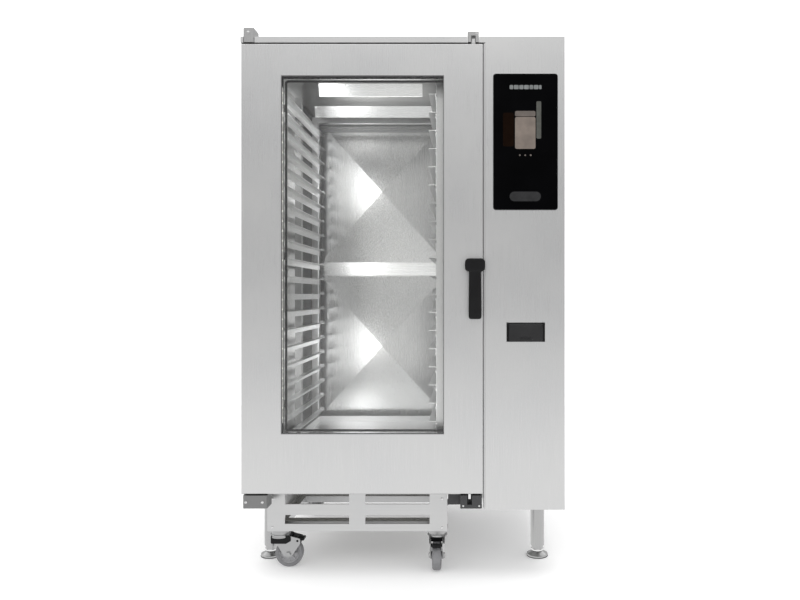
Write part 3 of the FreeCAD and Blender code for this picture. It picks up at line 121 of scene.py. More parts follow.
def add_box(bm, x0, x1, y0, y1, z0, z1):
    """Adds an upright box and returns its corners."""
    verts = [bm.verts.new((x, y, z)) for z in (z0, z1) for y in (y0, y1) for x in (x0, x1)]
    for a, b, c, d in ((0, 2, 3, 1), (4, 5, 7, 6), (0, 1, 5, 4), (1, 3, 7, 5), (3, 2, 6, 7), (2, 0, 4, 6)):
        bm.faces.new([verts[i] for i in (a, b, c, d)])
    return verts


def add_prism(bm, outline, depth, place):
    """Extrudes a closed outline of (u, v) by depth; place turns (u, v, w) into a point."""
    ends = [[bm.verts.new(place(u, v, w)) for u, v in outline] for w in (0.0, depth)]
    bm.faces.new(ends[0])
    bm.faces.new(list(reversed(ends[1])))
    count = len(outline)
    for i in range(count):
        j = (i + 1) % count
        bm.faces.new((ends[0][i], ends[0][j], ends[1][j], ends[1][i]))


def add_lathe(bm, profile, centre, axis, steps):
    """Revolves (radius, height) points about an axis through centre; closes on the axis at radius 0."""
    turns = {
        "x": lambda r, h, a: Vector((h, r * math.cos(a), r * math.sin(a))),
        "y": lambda r, h, a: Vector((r * math.cos(a), h, r * math.sin(a))),
        "z": lambda r, h, a: Vector((r * math.cos(a), r * math.sin(a), h)),
    }[axis]
    rings = []
    for r, h in profile:
        if r < 1e-7:
            rings.append([bm.verts.new(Vector(centre) + turns(0, h, 0))])
        else:
            rings.append([bm.verts.new(Vector(centre) + turns(r, h, 2 * math.pi * i / steps))
                          for i in range(steps)])
    for a, b in zip(rings, rings[1:]):
        for i in range(steps):
            j = (i + 1) % steps
            corners = [a[i % len(a)], a[j % len(a)], b[j % len(b)], b[i % len(b)]]
            corners = list(dict.fromkeys(corners))
            if len(corners) > 2:
                bm.faces.new(corners)


def rounded_rect(half_w, half_h, radius):
    """Points of a rounded rectangle round the origin."""
    radius = min(radius, half_w, half_h)
    points = []
    for cx, cy, start in ((1, 1, 0), (-1, 1, 90), (-1, -1, 180), (1, -1, 270)):
        for i in range(CORNER_STEPS + 1):
            a = math.radians(start + 90 * i / CORNER_STEPS)
            points.append((cx * (half_w - radius) + radius * math.cos(a),
                           cy * (half_h - radius) + radius * math.sin(a)))
    return points


def add_loft(bm, rings):
    """Skins rings of equally many points and closes both ends."""
    made = [[bm.verts.new(p) for p in ring] for ring in rings]
    count = len(made[0])
    for a, b in zip(made, made[1:]):
        for i in range(count):
            j = (i + 1) % count
            bm.faces.new((a[i], a[j], b[j], b[i]))
    bm.faces.new(list(reversed(made[0])))
    bm.faces.new(made[-1])


def add_screw(bm, x, y, z, axis, radius, height):
    """Low round head with a hexagonal socket; axis is "+x", "-y" and so on, pointing outwards."""
    sign = 1 if axis[0] == "+" else -1
    r, h = radius, height * sign
    add_lathe(bm, [(r, 0), (r, h * 0.55), (r * 0.86, h * 0.92), (r * 0.7, h), (r * 0.46, h)],
              (x, y, z), axis[1], 20)
    add_lathe(bm, [(r * 0.46, h), (r * 0.44, h * 0.35), (0, h * 0.35)], (x, y, z), axis[1], 6)


def add_frame(bm, x0, x1, z0, z1, radius, profile, y):
    """Sweeps a closed profile of (outward, back) points round an upright rectangle."""
    rings = []
    for side_x, side_z, start in ((1, 1, 0), (-1, 1, 90), (-1, -1, 180), (1, -1, 270)):
        corner_x = (x1 if side_x > 0 else x0) - side_x * radius
        corner_z = (z1 if side_z > 0 else z0) - side_z * radius
        for i in range(CORNER_STEPS + 1):
            a = math.radians(start + 90 * i / CORNER_STEPS)
            rings.append([bm.verts.new((corner_x + math.cos(a) * (radius + u), y + v,
                                        corner_z + math.sin(a) * (radius + u))) for u, v in profile])
    count = len(profile)
    for i, ring in enumerate(rings):
        following = rings[(i + 1) % len(rings)]
        for k in range(count):
            m = (k + 1) % count
            bm.faces.new((ring[k], ring[m], following[m], following[k]))


def melt(obj, voxel, rounds):
    """Fuses overlapping shells into one skin and softens the creases, as in a moulding."""
    skin = obj.modifiers.new("skin", "REMESH")
    skin.mode = "VOXEL"
    skin.voxel_size = voxel
    soften = obj.modifiers.new("soften", "SMOOTH")
    soften.factor = 0.5
    soften.iterations = rounds
    mesh = bpy.data.meshes.new_from_object(obj.evaluated_get(bpy.context.evaluated_depsgraph_get()))
    obj.modifiers.clear()
    obj.data = mesh
    for polygon in mesh.polygons:
        polygon.use_smooth = True


def mm_points(points):
    """Points given in millimetres, in metres."""
    return [tuple(value * MM for value in point) for point in points]


# --- materials ------------------------------------------------------------------------
class Nodes:
    """Short names for building a node tree."""

    def __init__(self, name):
        self.material = bpy.data.materials.new(name)
        self.material.use_nodes = True
        self.tree = self.material.node_tree
        self.shader = self.tree.nodes["Principled BSDF"]
        self.output = self.tree.nodes["Material Output"]

    def add(self, kind, **settings):
        node = self.tree.nodes.new(kind)
        for key, value in settings.items():
            setattr(node, key, value)
        return node

    def link(self, source, target):
        self.tree.links.new(source, target)

    def set(self, **values):
        for key, value in values.items():
            self.shader.inputs[key.replace("_", " ")].default_value = value

    def place(self, scale):
        """Object coordinates, stretched."""
        coordinates = self.add("ShaderNodeTexCoord")
        mapping = self.add("ShaderNodeMapping")
        mapping.inputs["Scale"].default_value = scale
        self.link(coordinates.outputs["Object"], mapping.inputs["Vector"])
        return mapping.outputs["Vector"]

    def noise(self, scale, size, detail, rough=0.55):
        node = self.add("ShaderNodeTexNoise")
        node.inputs["Scale"].default_value = size
        node.inputs["Detail"].default_value = detail
        node.inputs["Roughness"].default_value = rough
        self.link(self.place(scale), node.inputs["Vector"])
        return node.outputs["Fac"]

    def ranged(self, value, low, high, start=0.3, end=0.7):
        node = self.add("ShaderNodeMapRange")
        node.inputs["From Min"].default_value = start
        node.inputs["From Max"].default_value = end
        node.inputs["To Min"].default_value = low
        node.inputs["To Max"].default_value = high
        self.link(value, node.inputs["Value"])
        return node.outputs["Result"]

    def compute(self, operation, *values):
        node = self.add("ShaderNodeMath", operation=operation)
        for target, value in zip(node.inputs, values):
            if isinstance(value, (int, float)):
                target.default_value = value
            else:
                self.link(value, target)
        return node.outputs[0]

    def blend(self, fac, dark, light):
        """Mixes two colours, each given as numbers or as a socket."""
        node = self.add("ShaderNodeMix", data_type="RGBA")
        for target, colour in ((node.inputs[6], dark), (node.inputs[7], light)):
            if isinstance(colour, tuple):
                target.default_value = (*colour, 1)
            else:
                self.link(colour, target)
        self.link(fac, node.inputs[0])
        return node.outputs[2]

    def cloudy(self, fac, colour, darker, lighter):
        """Gives the surface a colour that drifts between a darker and a lighter tone of itself."""
        self.link(self.blend(fac, tuple(c * darker for c in colour), tuple(min(1, c * lighter) for c in colour)),
                  self.shader.inputs["Base Color"])

    def bump(self, height, distance):
        node = self.add("ShaderNodeBump")
        node.inputs["Distance"].default_value = distance
        node.inputs["Strength"].default_value = 1.0
        self.link(height, node.inputs["Height"])
        self.link(node.outputs["Normal"], self.shader.inputs["Normal"])


GRAIN = {"x": (6, 900, 900), "y": (900, 6, 900), "z": (900, 900, 6)}    # scratches run along the named axis


def steel(name, tone=0.72, rough=0.3, spread=0.07, grain="z", scratch=0.00001, waves=0.0):
    """Ground stainless sheet: fine parallel scratches, soft clouding and slight unevenness."""
    m = Nodes(name)
    m.set(Metallic=1.0)
    clouds = m.noise((1, 1, 1), 3.0, 5.0)
    dark = tuple(tone * k for k in (0.93, 0.935, 0.94))
    light = tuple(tone * k for k in (1.0, 1.0, 0.995))
    m.link(m.blend(m.ranged(clouds, 0, 1), dark, light), m.shader.inputs["Base Color"])
    lines = m.noise(GRAIN[grain], 1.0, 2.0, 0.7)
    mixed = m.compute("MULTIPLY_ADD", clouds, 0.35, lines)
    m.link(m.ranged(mixed, rough - spread, rough + spread, 0.4, 0.95), m.shader.inputs["Roughness"])
    if waves:
        m.bump(m.noise((1, 1, 1), 2.2, 1.0), waves)
    else:
        m.bump(lines, scratch)
    return m.material


def liner_steel(name):
    """Cavity sheet: a ceiling darker than the floor, as painted shade, and side walls that turn dark towards the back,
    as painted shade.
    """
    m = Nodes(name)
    m.set(Metallic=1.0)
    coordinates = m.add("ShaderNodeTexCoord")
    split = m.add("ShaderNodeSeparateXYZ")
    m.link(coordinates.outputs["Object"], split.inputs[0])
    clouds = m.noise((1, 1, 1), 4.0, 5.0)
    drift = m.ranged(clouds, 0, 1)
    off_middle = m.compute("ABSOLUTE", m.compute("SUBTRACT", split.outputs["X"], CAVITY_MIDDLE_X))
    on_side_wall = m.ranged(off_middle, 0.0, 1.0, 0.295, 0.313)
    # painted shade: the side walls darken towards the back of the cavity
    back_shade = m.ranged(split.outputs["Y"], 0.0, 1.0, 0.12, 0.18)
    side_wall = m.blend(back_shade, m.blend(drift, (0.8, 0.798, 0.795), (0.9, 0.9, 0.898)),
                        m.blend(drift, (0.05, 0.05, 0.048), (0.09, 0.09, 0.088)))
    # painted shade: the ceiling takes a darker tone than the floor
    ceiling_shade = m.ranged(split.outputs["Z"], 0.0, 1.0, 0.9, 1.1)
    floor_and_shaded_ceiling = m.blend(ceiling_shade, m.blend(drift, (0.9, 0.9, 0.895), (0.95, 0.95, 0.95)),
                                m.blend(drift, (0.5, 0.5, 0.495), (0.6, 0.6, 0.598)))
    m.link(m.blend(on_side_wall, floor_and_shaded_ceiling, side_wall), m.shader.inputs["Base Color"])
    m.link(m.ranged(clouds, 0.26, 0.38), m.shader.inputs["Roughness"])
    m.bump(m.noise((1, 1, 1), 2.2, 1.0), 0.0001)
    return m.material


def plastic(name, colour, rough=0.45, grain=0.00006, size=900.0, coat=0.0, specular=0.5):
    """Moulded plastic with a fine eroded grain and a little wear."""
    m = Nodes(name)
    m.set(Metallic=0.0, Coat_Weight=coat, Coat_Roughness=0.08, Specular_IOR_Level=specular)
    clouds = m.noise((1, 1, 1), 14.0, 4.0)
    m.cloudy(m.ranged(clouds, 0, 1), colour, 0.85, 1.2)
    m.link(m.ranged(clouds, rough - 0.06, rough + 0.08), m.shader.inputs["Roughness"])
    m.bump(m.noise((1, 1, 1), size, 2.0), grain)
    return m.material


def paint(name, colour, rough=0.42, metallic=0.3):
    """Powder coat with orange peel and dust in its hollows."""
    m = Nodes(name)
    m.set(Metallic=metallic)
    clouds = m.noise((1, 1, 1), 9.0, 5.0)
    m.cloudy(m.ranged(clouds, 0, 1), colour, 0.8, 1.25)
    m.link(m.ranged(clouds, rough - 0.05, rough + 0.1), m.shader.inputs["Roughness"])
    m.bump(m.noise((1, 1, 1), 420.0, 1.0), 0.00005)
    return m.material


def rubber(name, colour, rough=0.7):
    """Matt rubber with a film of dust."""
    m = Nodes(name)
    dust = m.noise((1, 1, 1), 30.0, 6.0, 0.65)
    m.link(m.blend(m.ranged(dust, 0, 1, 0.35, 0.75), colour, tuple(min(1, c * 1.35 + 0.01) for c in colour)),
           m.shader.inputs["Base Color"])
    m.link(m.ranged(dust, rough - 0.08, rough + 0.12), m.shader.inputs["Roughness"])
    m.bump(m.noise((1, 1, 1), 700.0, 2.0), 0.00005)
    return m.material


def clear_glass(name, tint):
    """Thin pane: it lets light straight through and mirrors more at a slant."""
    m = Nodes(name)
    m.set(Base_Color=(*tint, 1), Roughness=0.02, Metallic=0.0)
    smears = m.noise((1, 1, 1), 4.0, 3.0)
    glossy = m.add("ShaderNodeBsdfGlossy")
    m.link(m.ranged(smears, 0.01, 0.05), glossy.inputs["Roughness"])
    see = m.add("ShaderNodeBsdfTransparent")
    see.inputs["Color"].default_value = (*tint, 1)
    facing = m.add("ShaderNodeLayerWeight")
    facing.inputs["Blend"].default_value = 0.5
    slant = m.compute("POWER", facing.outputs["Facing"], 5.0)
    mix = m.add("ShaderNodeMixShader")
    m.link(m.ranged(slant, 0.04, 1.0, 0.0, 1.0), mix.inputs[0])
    m.link(see.outputs[0], mix.inputs[1])
    m.link(glossy.outputs[0], mix.inputs[2])
    m.link(mix.outputs[0], m.output.inputs["Surface"])
    return m.material


def black_glass(name):
    """Touch screen glass: deep black under a clear polished face."""
    m = Nodes(name)
    m.set(Roughness=0.12, Specular_IOR_Level=0.03)
    smears = m.noise((1, 1, 1), 9.0, 5.0)
    m.link(m.blend(m.ranged(smears, 0, 1), (0.0008, 0.0008, 0.001), (0.0016, 0.0016, 0.002)),
           m.shader.inputs["Base Color"])
    m.link(m.ranged(smears, 0.08, 0.2), m.shader.inputs["Roughness"])
    return m.material


def glow(name, colour, strength, dark=0.7, size=40.0, specular=0.5):
    """Lit plastic or a lit patch of a screen, a little uneven."""
    m = Nodes(name)
    uneven = m.noise((1, 1, 1), size, 3.0)
    mixed = m.blend(m.ranged(uneven, 0, 1), tuple(c * dark for c in colour), colour)
    m.link(mixed, m.shader.inputs["Base Color"])
    m.link(mixed, m.shader.inputs["Emission Color"])
    m.set(Roughness=0.3, Emission_Strength=strength, Specular_IOR_Level=specular)
    return m.material


def wool(name):
    """Grey-brown mineral wool, matted fibres."""
    m = Nodes(name)
    tufts = m.noise((1, 1, 0.35), 60.0, 8.0, 0.7)
    m.link(m.blend(m.ranged(tufts, 0, 1, 0.35, 0.65), (0.27, 0.26, 0.235), (0.52, 0.51, 0.475)),
           m.shader.inputs["Base Color"])
    m.set(Roughness=0.95, Sheen_Weight=0.3)
    m.bump(tufts, 0.004)
    return m.material


def heat_tinted(name):
    """Heater tube: dull metal with straw and blue scale."""
    m = Nodes(name)
    scale = m.noise((1, 1, 1), 25.0, 5.0)
    m.link(m.blend(m.ranged(scale, 0, 1), (0.10, 0.085, 0.085), (0.26, 0.2, 0.14)), m.shader.inputs["Base Color"])
    m.set(Metallic=0.7)
    m.link(m.ranged(scale, 0.4, 0.65), m.shader.inputs["Roughness"])
    m.bump(m.noise((1, 1, 1), 600.0, 2.0), 0.00008)
    return m.material


CASING = steel("casing_steel", 0.74, 0.3, 0.06, "z")
CASING_ACROSS = steel("casing_steel_across", 0.74, 0.3, 0.06, "x")
CAVITY = steel("cavity_steel", 0.95, 0.26, 0.05, "z", waves=0.00012)
LINER = liner_steel("liner_steel")
BAFFLE = steel("baffle_steel", 0.82, 0.24, 0.06, "z")
RIB = steel("satin_steel", 0.98, 0.27, 0.04, "x")
# dark steel of the air outlet's box, as painted shade
OUTLET_SHADE = steel("outlet_steel_painted_shade", 0.3, 0.4, 0.06, "x")
RACK = steel("rack_steel", 0.94, 0.34, 0.06, "y")
SHADED_UPRIGHT = steel("upright_steel_painted_shade", 0.5, 0.4, 0.06, "z")
FRAME = steel("frame_steel", 0.68, 0.34, 0.07, "x")
# darker steel for the rack's middle posts, as painted shade
BRIGHT = steel("bright_steel", 0.82, 0.16, 0.05, "z")
LEG = steel("leg_steel", 0.5, 0.3, 0.06, "z")
# the lower lock strikers, darker than the upper ones, as painted shade
STRIKER_SHADE_METAL = paint("dark_metal", (0.06, 0.06, 0.063))
ZINC = steel("zinc_plate", 0.5, 0.36, 0.08, "z")
# the lower hinge brackets, darker than the upper ones, as painted shade
CAST = steel("cast_steel_painted_shade", 0.3, 0.45, 0.06, "z")
STRUCTURE = steel("structure_steel", 0.64, 0.46, 0.07, "x")
WELD = steel("weld_steel", 0.5, 0.42, 0.12, "y")
ENAMEL = plastic("black_enamel", (0.04, 0.04, 0.042), 0.3, 0.00001, 300.0)
BEAD = rubber("grey_silicone", (0.13, 0.13, 0.132), 0.5)
FLAP_GREY = plastic("flap_plastic", (0.018, 0.018, 0.019), 0.42, specular=0.3)
HUB_GREY = plastic("hub_plastic", (0.42, 0.42, 0.43), 0.42)
CHIP = glow("lamp_chip", (1.0, 0.97, 0.85), 1.2, 0.9, 60.0)
LIT_GREY = glow("screen_grey", (0.16, 0.168, 0.168), 0.45, specular=0.1)
LIT_BEIGE = glow("screen_beige", (0.165, 0.136, 0.116), 0.38, 0.7, 30.0)
LIT_BROWN = glow("screen_brown", (0.10, 0.085, 0.075), 0.5, 0.6, 30.0)
LIT_GREEN = glow("screen_green", (0.082, 0.084, 0.076), 0.3, specular=0.1)
LIT_RED = glow("screen_red", (0.0075, 0.0035, 0.002), 0.2, specular=0.02)
LIT_BLUE = glow("screen_blue", (0.028, 0.028, 0.029), 0.3, specular=0.1)
MOTOR = paint("motor_metal", (0.3, 0.31, 0.33), 0.5, 0.6)
HEATER = heat_tinted("heater_metal")
GLASS = clear_glass("window_glass", (0.994, 0.995, 0.993))
SCREEN = black_glass("display_black")
BLACK_PLASTIC = plastic("black_plastic", (0.006, 0.006, 0.0065), 0.34, specular=0.22)
BLACK_RUBBER = rubber("black_rubber", (0.022, 0.022, 0.024))
GREY_TYRE = rubber("grey_tyre", (0.2, 0.2, 0.207), 0.62)
WOOL = wool("mineral_wool")
LAMP = glow("lamp_strip", (0.75, 0.74, 0.70), 0.25, 0.92, 12.0)
BOARD = plastic("circuit_board", (0.02, 0.16, 0.07), 0.4, 0.00004, 1500.0, 0.3)
CONNECTOR = paint("connector_grey", (0.42, 0.43, 0.44), 0.4, 0.7)

LOOKS = {
    CASING: ["left_side_panel", "right_side_panel", "rear_panel", "column_front_panel", "door_outer_panel"],
    CASING_ACROSS: ["top_cover"],
    CAVITY: ["cavity_back_wall", "door_inner_panel"],
    LINER: ["mouth_frame", "cavity_liner"],
    BAFFLE: ["air_baffle", "fan_wheel_upper", "fan_wheel_lower"],
    RACK: ["rack_runners", "rack_uprights", "trolley_drip_pan"],
    FRAME: ["trolley_front_frame", "trolley_seal_plate", "steam_generator", "steam_pipe", "exhaust_vent", "lock_case",
            "door_hinge_bushes", "handle_spindle"],
    STRUCTURE: ["base_frame", "column_base_plate", "trolley_base", "drain_box"],
    LEG: ["leg_tubes", "levelling_feet"],
    BRIGHT: ["panel_screws", "lock_rod_upper", "lock_rod_lower"],
    CAST: ["hinge_brackets"],
    STRIKER_SHADE_METAL: ["lock_strikers"],
    MOTOR: ["fan_motors"],
    HEATER: ["heating_elements"],
    GLASS: ["door_glass_outer", "door_glass_inner"],
    SCREEN: ["display_glass"],
    BLACK_PLASTIC: ["display_housing", "socket_pocket", "socket_flap", "door_handle", "castor_brake_front_left",
                    "castor_brake_front_right"],
    BLACK_RUBBER: ["door_gasket", "glass_seals"],
    WOOL: ["insulation"],
    LAMP: ["door_led_strips"],
    BOARD: ["control_electronics"],
    CONNECTOR: ["service_connections"],
    ZINC: [name for name in NODES if name.startswith("castor_fork")],
    GREY_TYRE: [name for name in NODES if name.startswith("castor_wheel")],
}


def add_second_look(node, material, chosen):
    """Gives another material to the faces of a CAD node whose centre is chosen."""
    mesh = NODES[node].data
    mesh.materials.append(material)
    for polygon in mesh.polygons:
        if chosen(polygon.center):
            polygon.material_index = 1


def dress_cad_nodes():
    """Gives every CAD node its material, and a second one to the upper brackets and strikers, lighter than the lower
    ones as painted light, and to the rack's middle posts, darker as painted shade.
    """
    for material, names in LOOKS.items():
        for name in names:
            materials = NODES[name].data.materials
            materials.clear()
            materials.append(material)
    half_height = CAD_BOX[1][2] / 2
    # painted light and shade: the upper halves take the lighter leg steel, the lower halves keep darker metal
    for name in ("hinge_brackets", "lock_strikers"):
        add_second_look(name, LEG, lambda centre: centre.z > half_height)
    # painted shade: the middle posts of the rack take the darker steel
    add_second_look("rack_uprights", SHADED_UPRIGHT, lambda centre: abs(centre.y) < MIDDLE_POST_REACH)


# --- pieces: door and column ----------------------------------------------------------
def handle_lever():
    """Moulded lever: a rounded head on a neck, and a grip that swells a little towards its end; its rosette."""
    x, _, z = JOINTS["handle_turn"]["pos_m"]
    x0, x1, y0, y1, z0, z1 = lo_hi("door_handle")
    head_z = (z1 + z - 26 * MM) / 2
    bm = bmesh.new()
    add_loft(bm, [[(x + u, y0 + y * MM, head_z + v)
                   for u, v in rounded_rect((x1 - x0) / 2 - inset * MM, z1 - head_z - inset * MM,
                                            (13 - inset) * MM)]
                  for inset, y in ((4, 0), (1.4, 0.9), (0, 3.6), (0, 20), (1.6, 23), (5, 24))])
    add_loft(bm, [[(x + u, y0 + 12 * MM + v, head_z + (z0 - head_z) * t)
                   for u, v in rounded_rect(half_w * MM, half_d * MM, 7.5 * MM)]
                  for t, half_w, half_d in ((0, 19.5, 9.5), (0.2, 20.2, 9.8), (0.55, 20.8, 10.8),
                                            (0.9, 21.4, 11.8), (0.965, 21.0, 11.6), (0.99, 18.5, 9.6),
                                            (1.0, 14.5, 6.2))])
    neck = y0 + 18 * MM
    add_lathe(bm, [(0, neck), (14.5 * MM, neck), (13.5 * MM, neck + 6 * MM), (13.5 * MM, y1 - 8 * MM),
                   (14.5 * MM, y1 - 6 * MM), (0, y1 - 6 * MM)], (x, 0, z), "y", 40)
    lever = finish_piece("handle_lever", bm, "handle", BLACK_PLASTIC)
    melt(lever, 1.5 * MM, 5)
    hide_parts("door_handle")
    bm = bmesh.new()
    add_lathe(bm, [(10 * MM, y1 - 5.6 * MM), (15.6 * MM, y1 - 5.6 * MM), (17 * MM, y1 - 4.2 * MM),
                   (17 * MM, y1), (10 * MM, y1), (10 * MM, y1 - 5.6 * MM)], (x, 0, z), "y", 48)
    finish_piece("handle_rosette", bm, "handle", BLACK_PLASTIC)


def door_gasket():
    """Hollow bulb on a flat foot, with a thin wiping lip on its inner side."""
    x0, x1, y0, y1, z0, z1 = lo_hi("door_gasket")
    width, depth = 18.0, (y1 - y0) / MM
    profile = [(0, depth), (width, depth), (width, depth - 2.6), (15.4, depth - 3.4)]
    for i in range(13):
        a = math.radians(-25 + 230 * i / 12)
        profile.append((10.4 + 5.0 * math.cos(a), 5.2 - 5.2 * math.sin(a)))
    profile += [(5.2, depth - 3.2), (3.4, depth - 3.2), (0.6, 2.4), (-0.2, 2.8), (1.4, depth - 3.0)]
    bm = bmesh.new()
    inner = width * MM
    add_frame(bm, x0 + inner, x1 - inner, z0 + inner, z1 - inner, 10 * MM,
              mm_points(profile), y0)
    gasket = finish_piece("gasket_bulb", bm, "cabinet", BLACK_RUBBER, angle=50)
    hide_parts("door_gasket")


def window_borders():
    """Black enamel round both panes, on their faces towards the gap."""
    x0, x1, z0, z1 = WINDOW
    band = mm_points([(0, -0.2), (8, -0.2), (8, 0.2), (0, 0.2)])
    for name, y, inset in (("window_enamel_outer", lo_hi("door_glass_outer")[3] + 0.3 * MM, 2 * MM),
                           ("window_enamel_inner", lo_hi("door_glass_inner")[2] - 0.3 * MM, 4 * MM)):
        bm = bmesh.new()
        add_frame(bm, x0 + inset, x1 - inset, z0 + inset, z1 - inset, 4 * MM, band, y)
        finish_piece(name, bm, "door", ENAMEL)


def window_bead():
    """Silicone bead between the outer pane and the edge of the door's opening."""
    x0, x1, z0, z1 = WINDOW
    y = lo_hi("door_glass_outer")[2]
    profile = [(0.6, 0.4)] + [(0.6 - 3.2 * math.sin(math.radians(a)), 0.2 - 2.2 * math.cos(math.radians(a)))
                              for a in range(0, 91, 15)] + [(-2.6, 0.4)]
    bm = bmesh.new()
    add_frame(bm, x0, x1, z0, z1, 3 * MM, mm_points(profile), y)
    finish_piece("window_bead", bm, "door", BEAD, angle=60)


def inner_pane_clips():
    """Spring clips with their screws that hold the inner pane, on the cavity side of the door."""
    back = lo_hi("door_inner_panel")[3]
    x0, x1, z0, z1 = WINDOW
    bm = bmesh.new()
    screws = bmesh.new()
    for z in (z0 + 0.09, (z0 + z1) / 2, z1 - 0.09):
        for x, side in ((x0 - 17 * MM, 1), (x1 + 17 * MM, -1)):
            outline = mm_points([(-13, 0), (-13, 1.2), (8, 1.2), (14, 0.2), (17, 0.2), (17, -0.8), (13.4, -0.8),
                                 (7.4, 0)])
            add_prism(bm, outline, 26 * MM,
                      lambda u, v, w, x=x, z=z, side=side: Vector((x + side * u, back + v, z - 13 * MM + w)))
            add_screw(screws, x - side * 4 * MM, back + 1.2 * MM, z, "+y", 3.6 * MM, 1.6 * MM)
    finish_piece("inner_pane_clips", bm, "door", BRIGHT)
    finish_piece("inner_pane_screws", screws, "door", BRIGHT)


def lamp_chips():
    """Rows of small lamps along the two strips between the panes."""
    x0, x1, y0, y1, z0, z1 = lo_hi("door_led_strips")
    bm = bmesh.new()
    count = 34
    for i in range(count):
        z = z0 + 0.02 + (z1 - z0 - 0.04) * i / (count - 1)
        for x, side in ((x0, 1), (x1, -1)):
            inner = x + side * STRIP_DEPTH
            add_box(bm, *sorted((inner, inner + side * 0.7 * MM)), (y0 + y1) / 2 - 2 * MM, (y0 + y1) / 2 + 2 * MM,
                    z - 3 * MM, z + 3 * MM)
    finish_piece("lamp_chips", bm, "door", CHIP, bevel=0.3 * MM, segments=2)


def screen_patch(bm, x, z, half_w, half_h, radius):
    """Thin tile with rounded corners on the face of the display."""
    front = lo_hi("display_glass")[2]
    add_prism(bm, rounded_rect(half_w * MM, half_h * MM, radius * MM), 0.35 * MM,
              lambda u, v, w: Vector((x + u, front - 0.3 * MM + w, z + v)))


def display_picture():
    """Generic lit screen: status marks, a programme tile with its head, side and strip, and a start bar."""
    x0, x1, _, _, z0, z1 = lo_hi("display_glass")
    middle = (x0 + x1) / 2 - 1 * MM
    mark_row = [(offset, -44, half_w, 7, 3) for offset, half_w in
                ((-46, 6), (-30, 8), (-13, 7), (4, 8), (20, 6), (36, 8), (50, 4))]
    dots = [(offset, -270, 3, 3, 3) for offset in (-18, 0, 18)]
    bar_drop = (z0 - z1) / MM + 43
    for name, material, patches in (
            ("display_marks", LIT_GREY, mark_row),
            ("display_tile", LIT_BEIGE, [(0, -196, 34, 53, 6)]),
            ("display_tile_head", LIT_BROWN, [(0, -132, 34, 9, 5)] + dots),
            ("display_tile_strip", LIT_GREEN, [(45, -153, 8, 62, 4)]),
            ("display_tile_side", LIT_RED, [(-56, -185, 18, 56, 6)]),
            ("display_bar", LIT_BLUE, [(0, bar_drop, 52, 16, 16)])):
        bm = bmesh.new()
        for offset, drop, half_w, half_h, radius in patches:
            screen_patch(bm, middle + offset * MM, z1 + drop * MM, half_w, half_h, radius)
        finish_piece(name, bm, "cabinet", material)


def display_trim():
    """Thin dark gasket that shows between the display and the column's sheet."""
    x0, x1, _, y1, z0, z1 = lo_hi("display_glass")
    bm = bmesh.new()
    add_frame(bm, x0, x1, z0, z1, 8 * MM, mm_points([(0.1, 0), (1.6, 1.0), (1.9, 4.0), (0.1, 4.0)]), y1 - 3.4 * MM)
    finish_piece("display_trim", bm, "cabinet", BLACK_RUBBER)


def flap_cover():
    """Moulded cover of the sockets: crowned face, barrel along the hinge and a ribbed finger lip."""
    x0, x1, _, _, z0, _ = lo_hi("socket_flap")
    _, axis_y, axis_z = JOINTS["socket_flap_hinge"]["pos_m"]
    middle_x, middle_z = (x0 + x1) / 2, (z0 + axis_z) / 2
    half_w, half_h = (x1 - x0) / 2, (axis_z - z0) / 2
    front, back = axis_y - 4 * MM, axis_y + 3.8 * MM
    bm = bmesh.new()
    add_loft(bm, [[(middle_x + u, y, middle_z + v)
                   for u, v in rounded_rect(half_w - inset * MM, half_h - inset * MM, 5 * MM)]
                  for inset, y in ((3.4, front), (1.2, front + 0.7 * MM), (0.2, front + 2.2 * MM), (0, back))])
    cover = finish_piece("flap_cover", bm, "flap", FLAP_GREY, bevel=0.5 * MM)
    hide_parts("socket_flap")
    bm = bmesh.new()
    barrel = 3.8 * MM
    add_lathe(bm, [(2.2 * MM, x0), (barrel - 0.5 * MM, x0), (barrel, x0 + 0.5 * MM), (barrel, x1 - 0.5 * MM),
                   (barrel - 0.5 * MM, x1), (2.2 * MM, x1)], (0, axis_y, axis_z), "x", 28)
    finish_piece("flap_barrel", bm, "flap", FLAP_GREY)
    bm = bmesh.new()
    for i in range(9):
        x = middle_x + (i - 4) * 4.6 * MM
        add_prism(bm, mm_points([(-1.1, 0.2), (-0.7, -1.3), (0.7, -1.3), (1.1, 0.2)]), 9 * MM,
                  lambda u, v, w, x=x: Vector((x + u, front + v, z0 + 5 * MM + w)))
    finish_piece("flap_grip_ribs", bm, "flap", FLAP_GREY)


def hinge_details():
    """Domed caps over the hinge pins and the screws of the hinge brackets and strikers."""
    pin_x, pin_y, _ = JOINTS["door_hinge"]["pos_m"]
    x0, _, y0, _, z0, z1 = lo_hi("hinge_brackets")
    caps = bmesh.new()
    add_lathe(caps, [(0, 5.4 * MM), (5 * MM, 5 * MM), (9 * MM, 3.4 * MM), (11 * MM, 0.8 * MM), (11 * MM, -0.5 * MM),
                     (0, -0.5 * MM)], (pin_x, pin_y, z1), "z", 36)
    add_lathe(caps, [(0, -4.4 * MM), (5 * MM, -4 * MM), (9 * MM, -2.8 * MM), (11 * MM, -0.6 * MM), (11 * MM, 0.5 * MM),
                     (0, 0.5 * MM)], (pin_x, pin_y, z0), "z", 36)
    finish_piece("hinge_caps", caps, "cabinet", BRIGHT)
    screws = bmesh.new()
    for x, z in ((pin_x, z1 - 16 * MM), (x0 + 11 * MM, z0 + 21 * MM), (x0 + 66 * MM, z0 + 21 * MM)):
        add_screw(screws, x, y0, z, "-y", 5 * MM, 2.8 * MM)
    _, x1, y0, _, z0, z1 = lo_hi("lock_strikers")
    for x, z in ((x1 - 9 * MM, z0 + 9 * MM), (x1 - 62 * MM, z0 + 9 * MM), (x1 - 18 * MM, z1 - 8 * MM)):
        add_screw(screws, x, y0, z, "-y", 3.6 * MM, 2.0 * MM)
    finish_piece("bracket_screws", screws, "cabinet", BRIGHT)


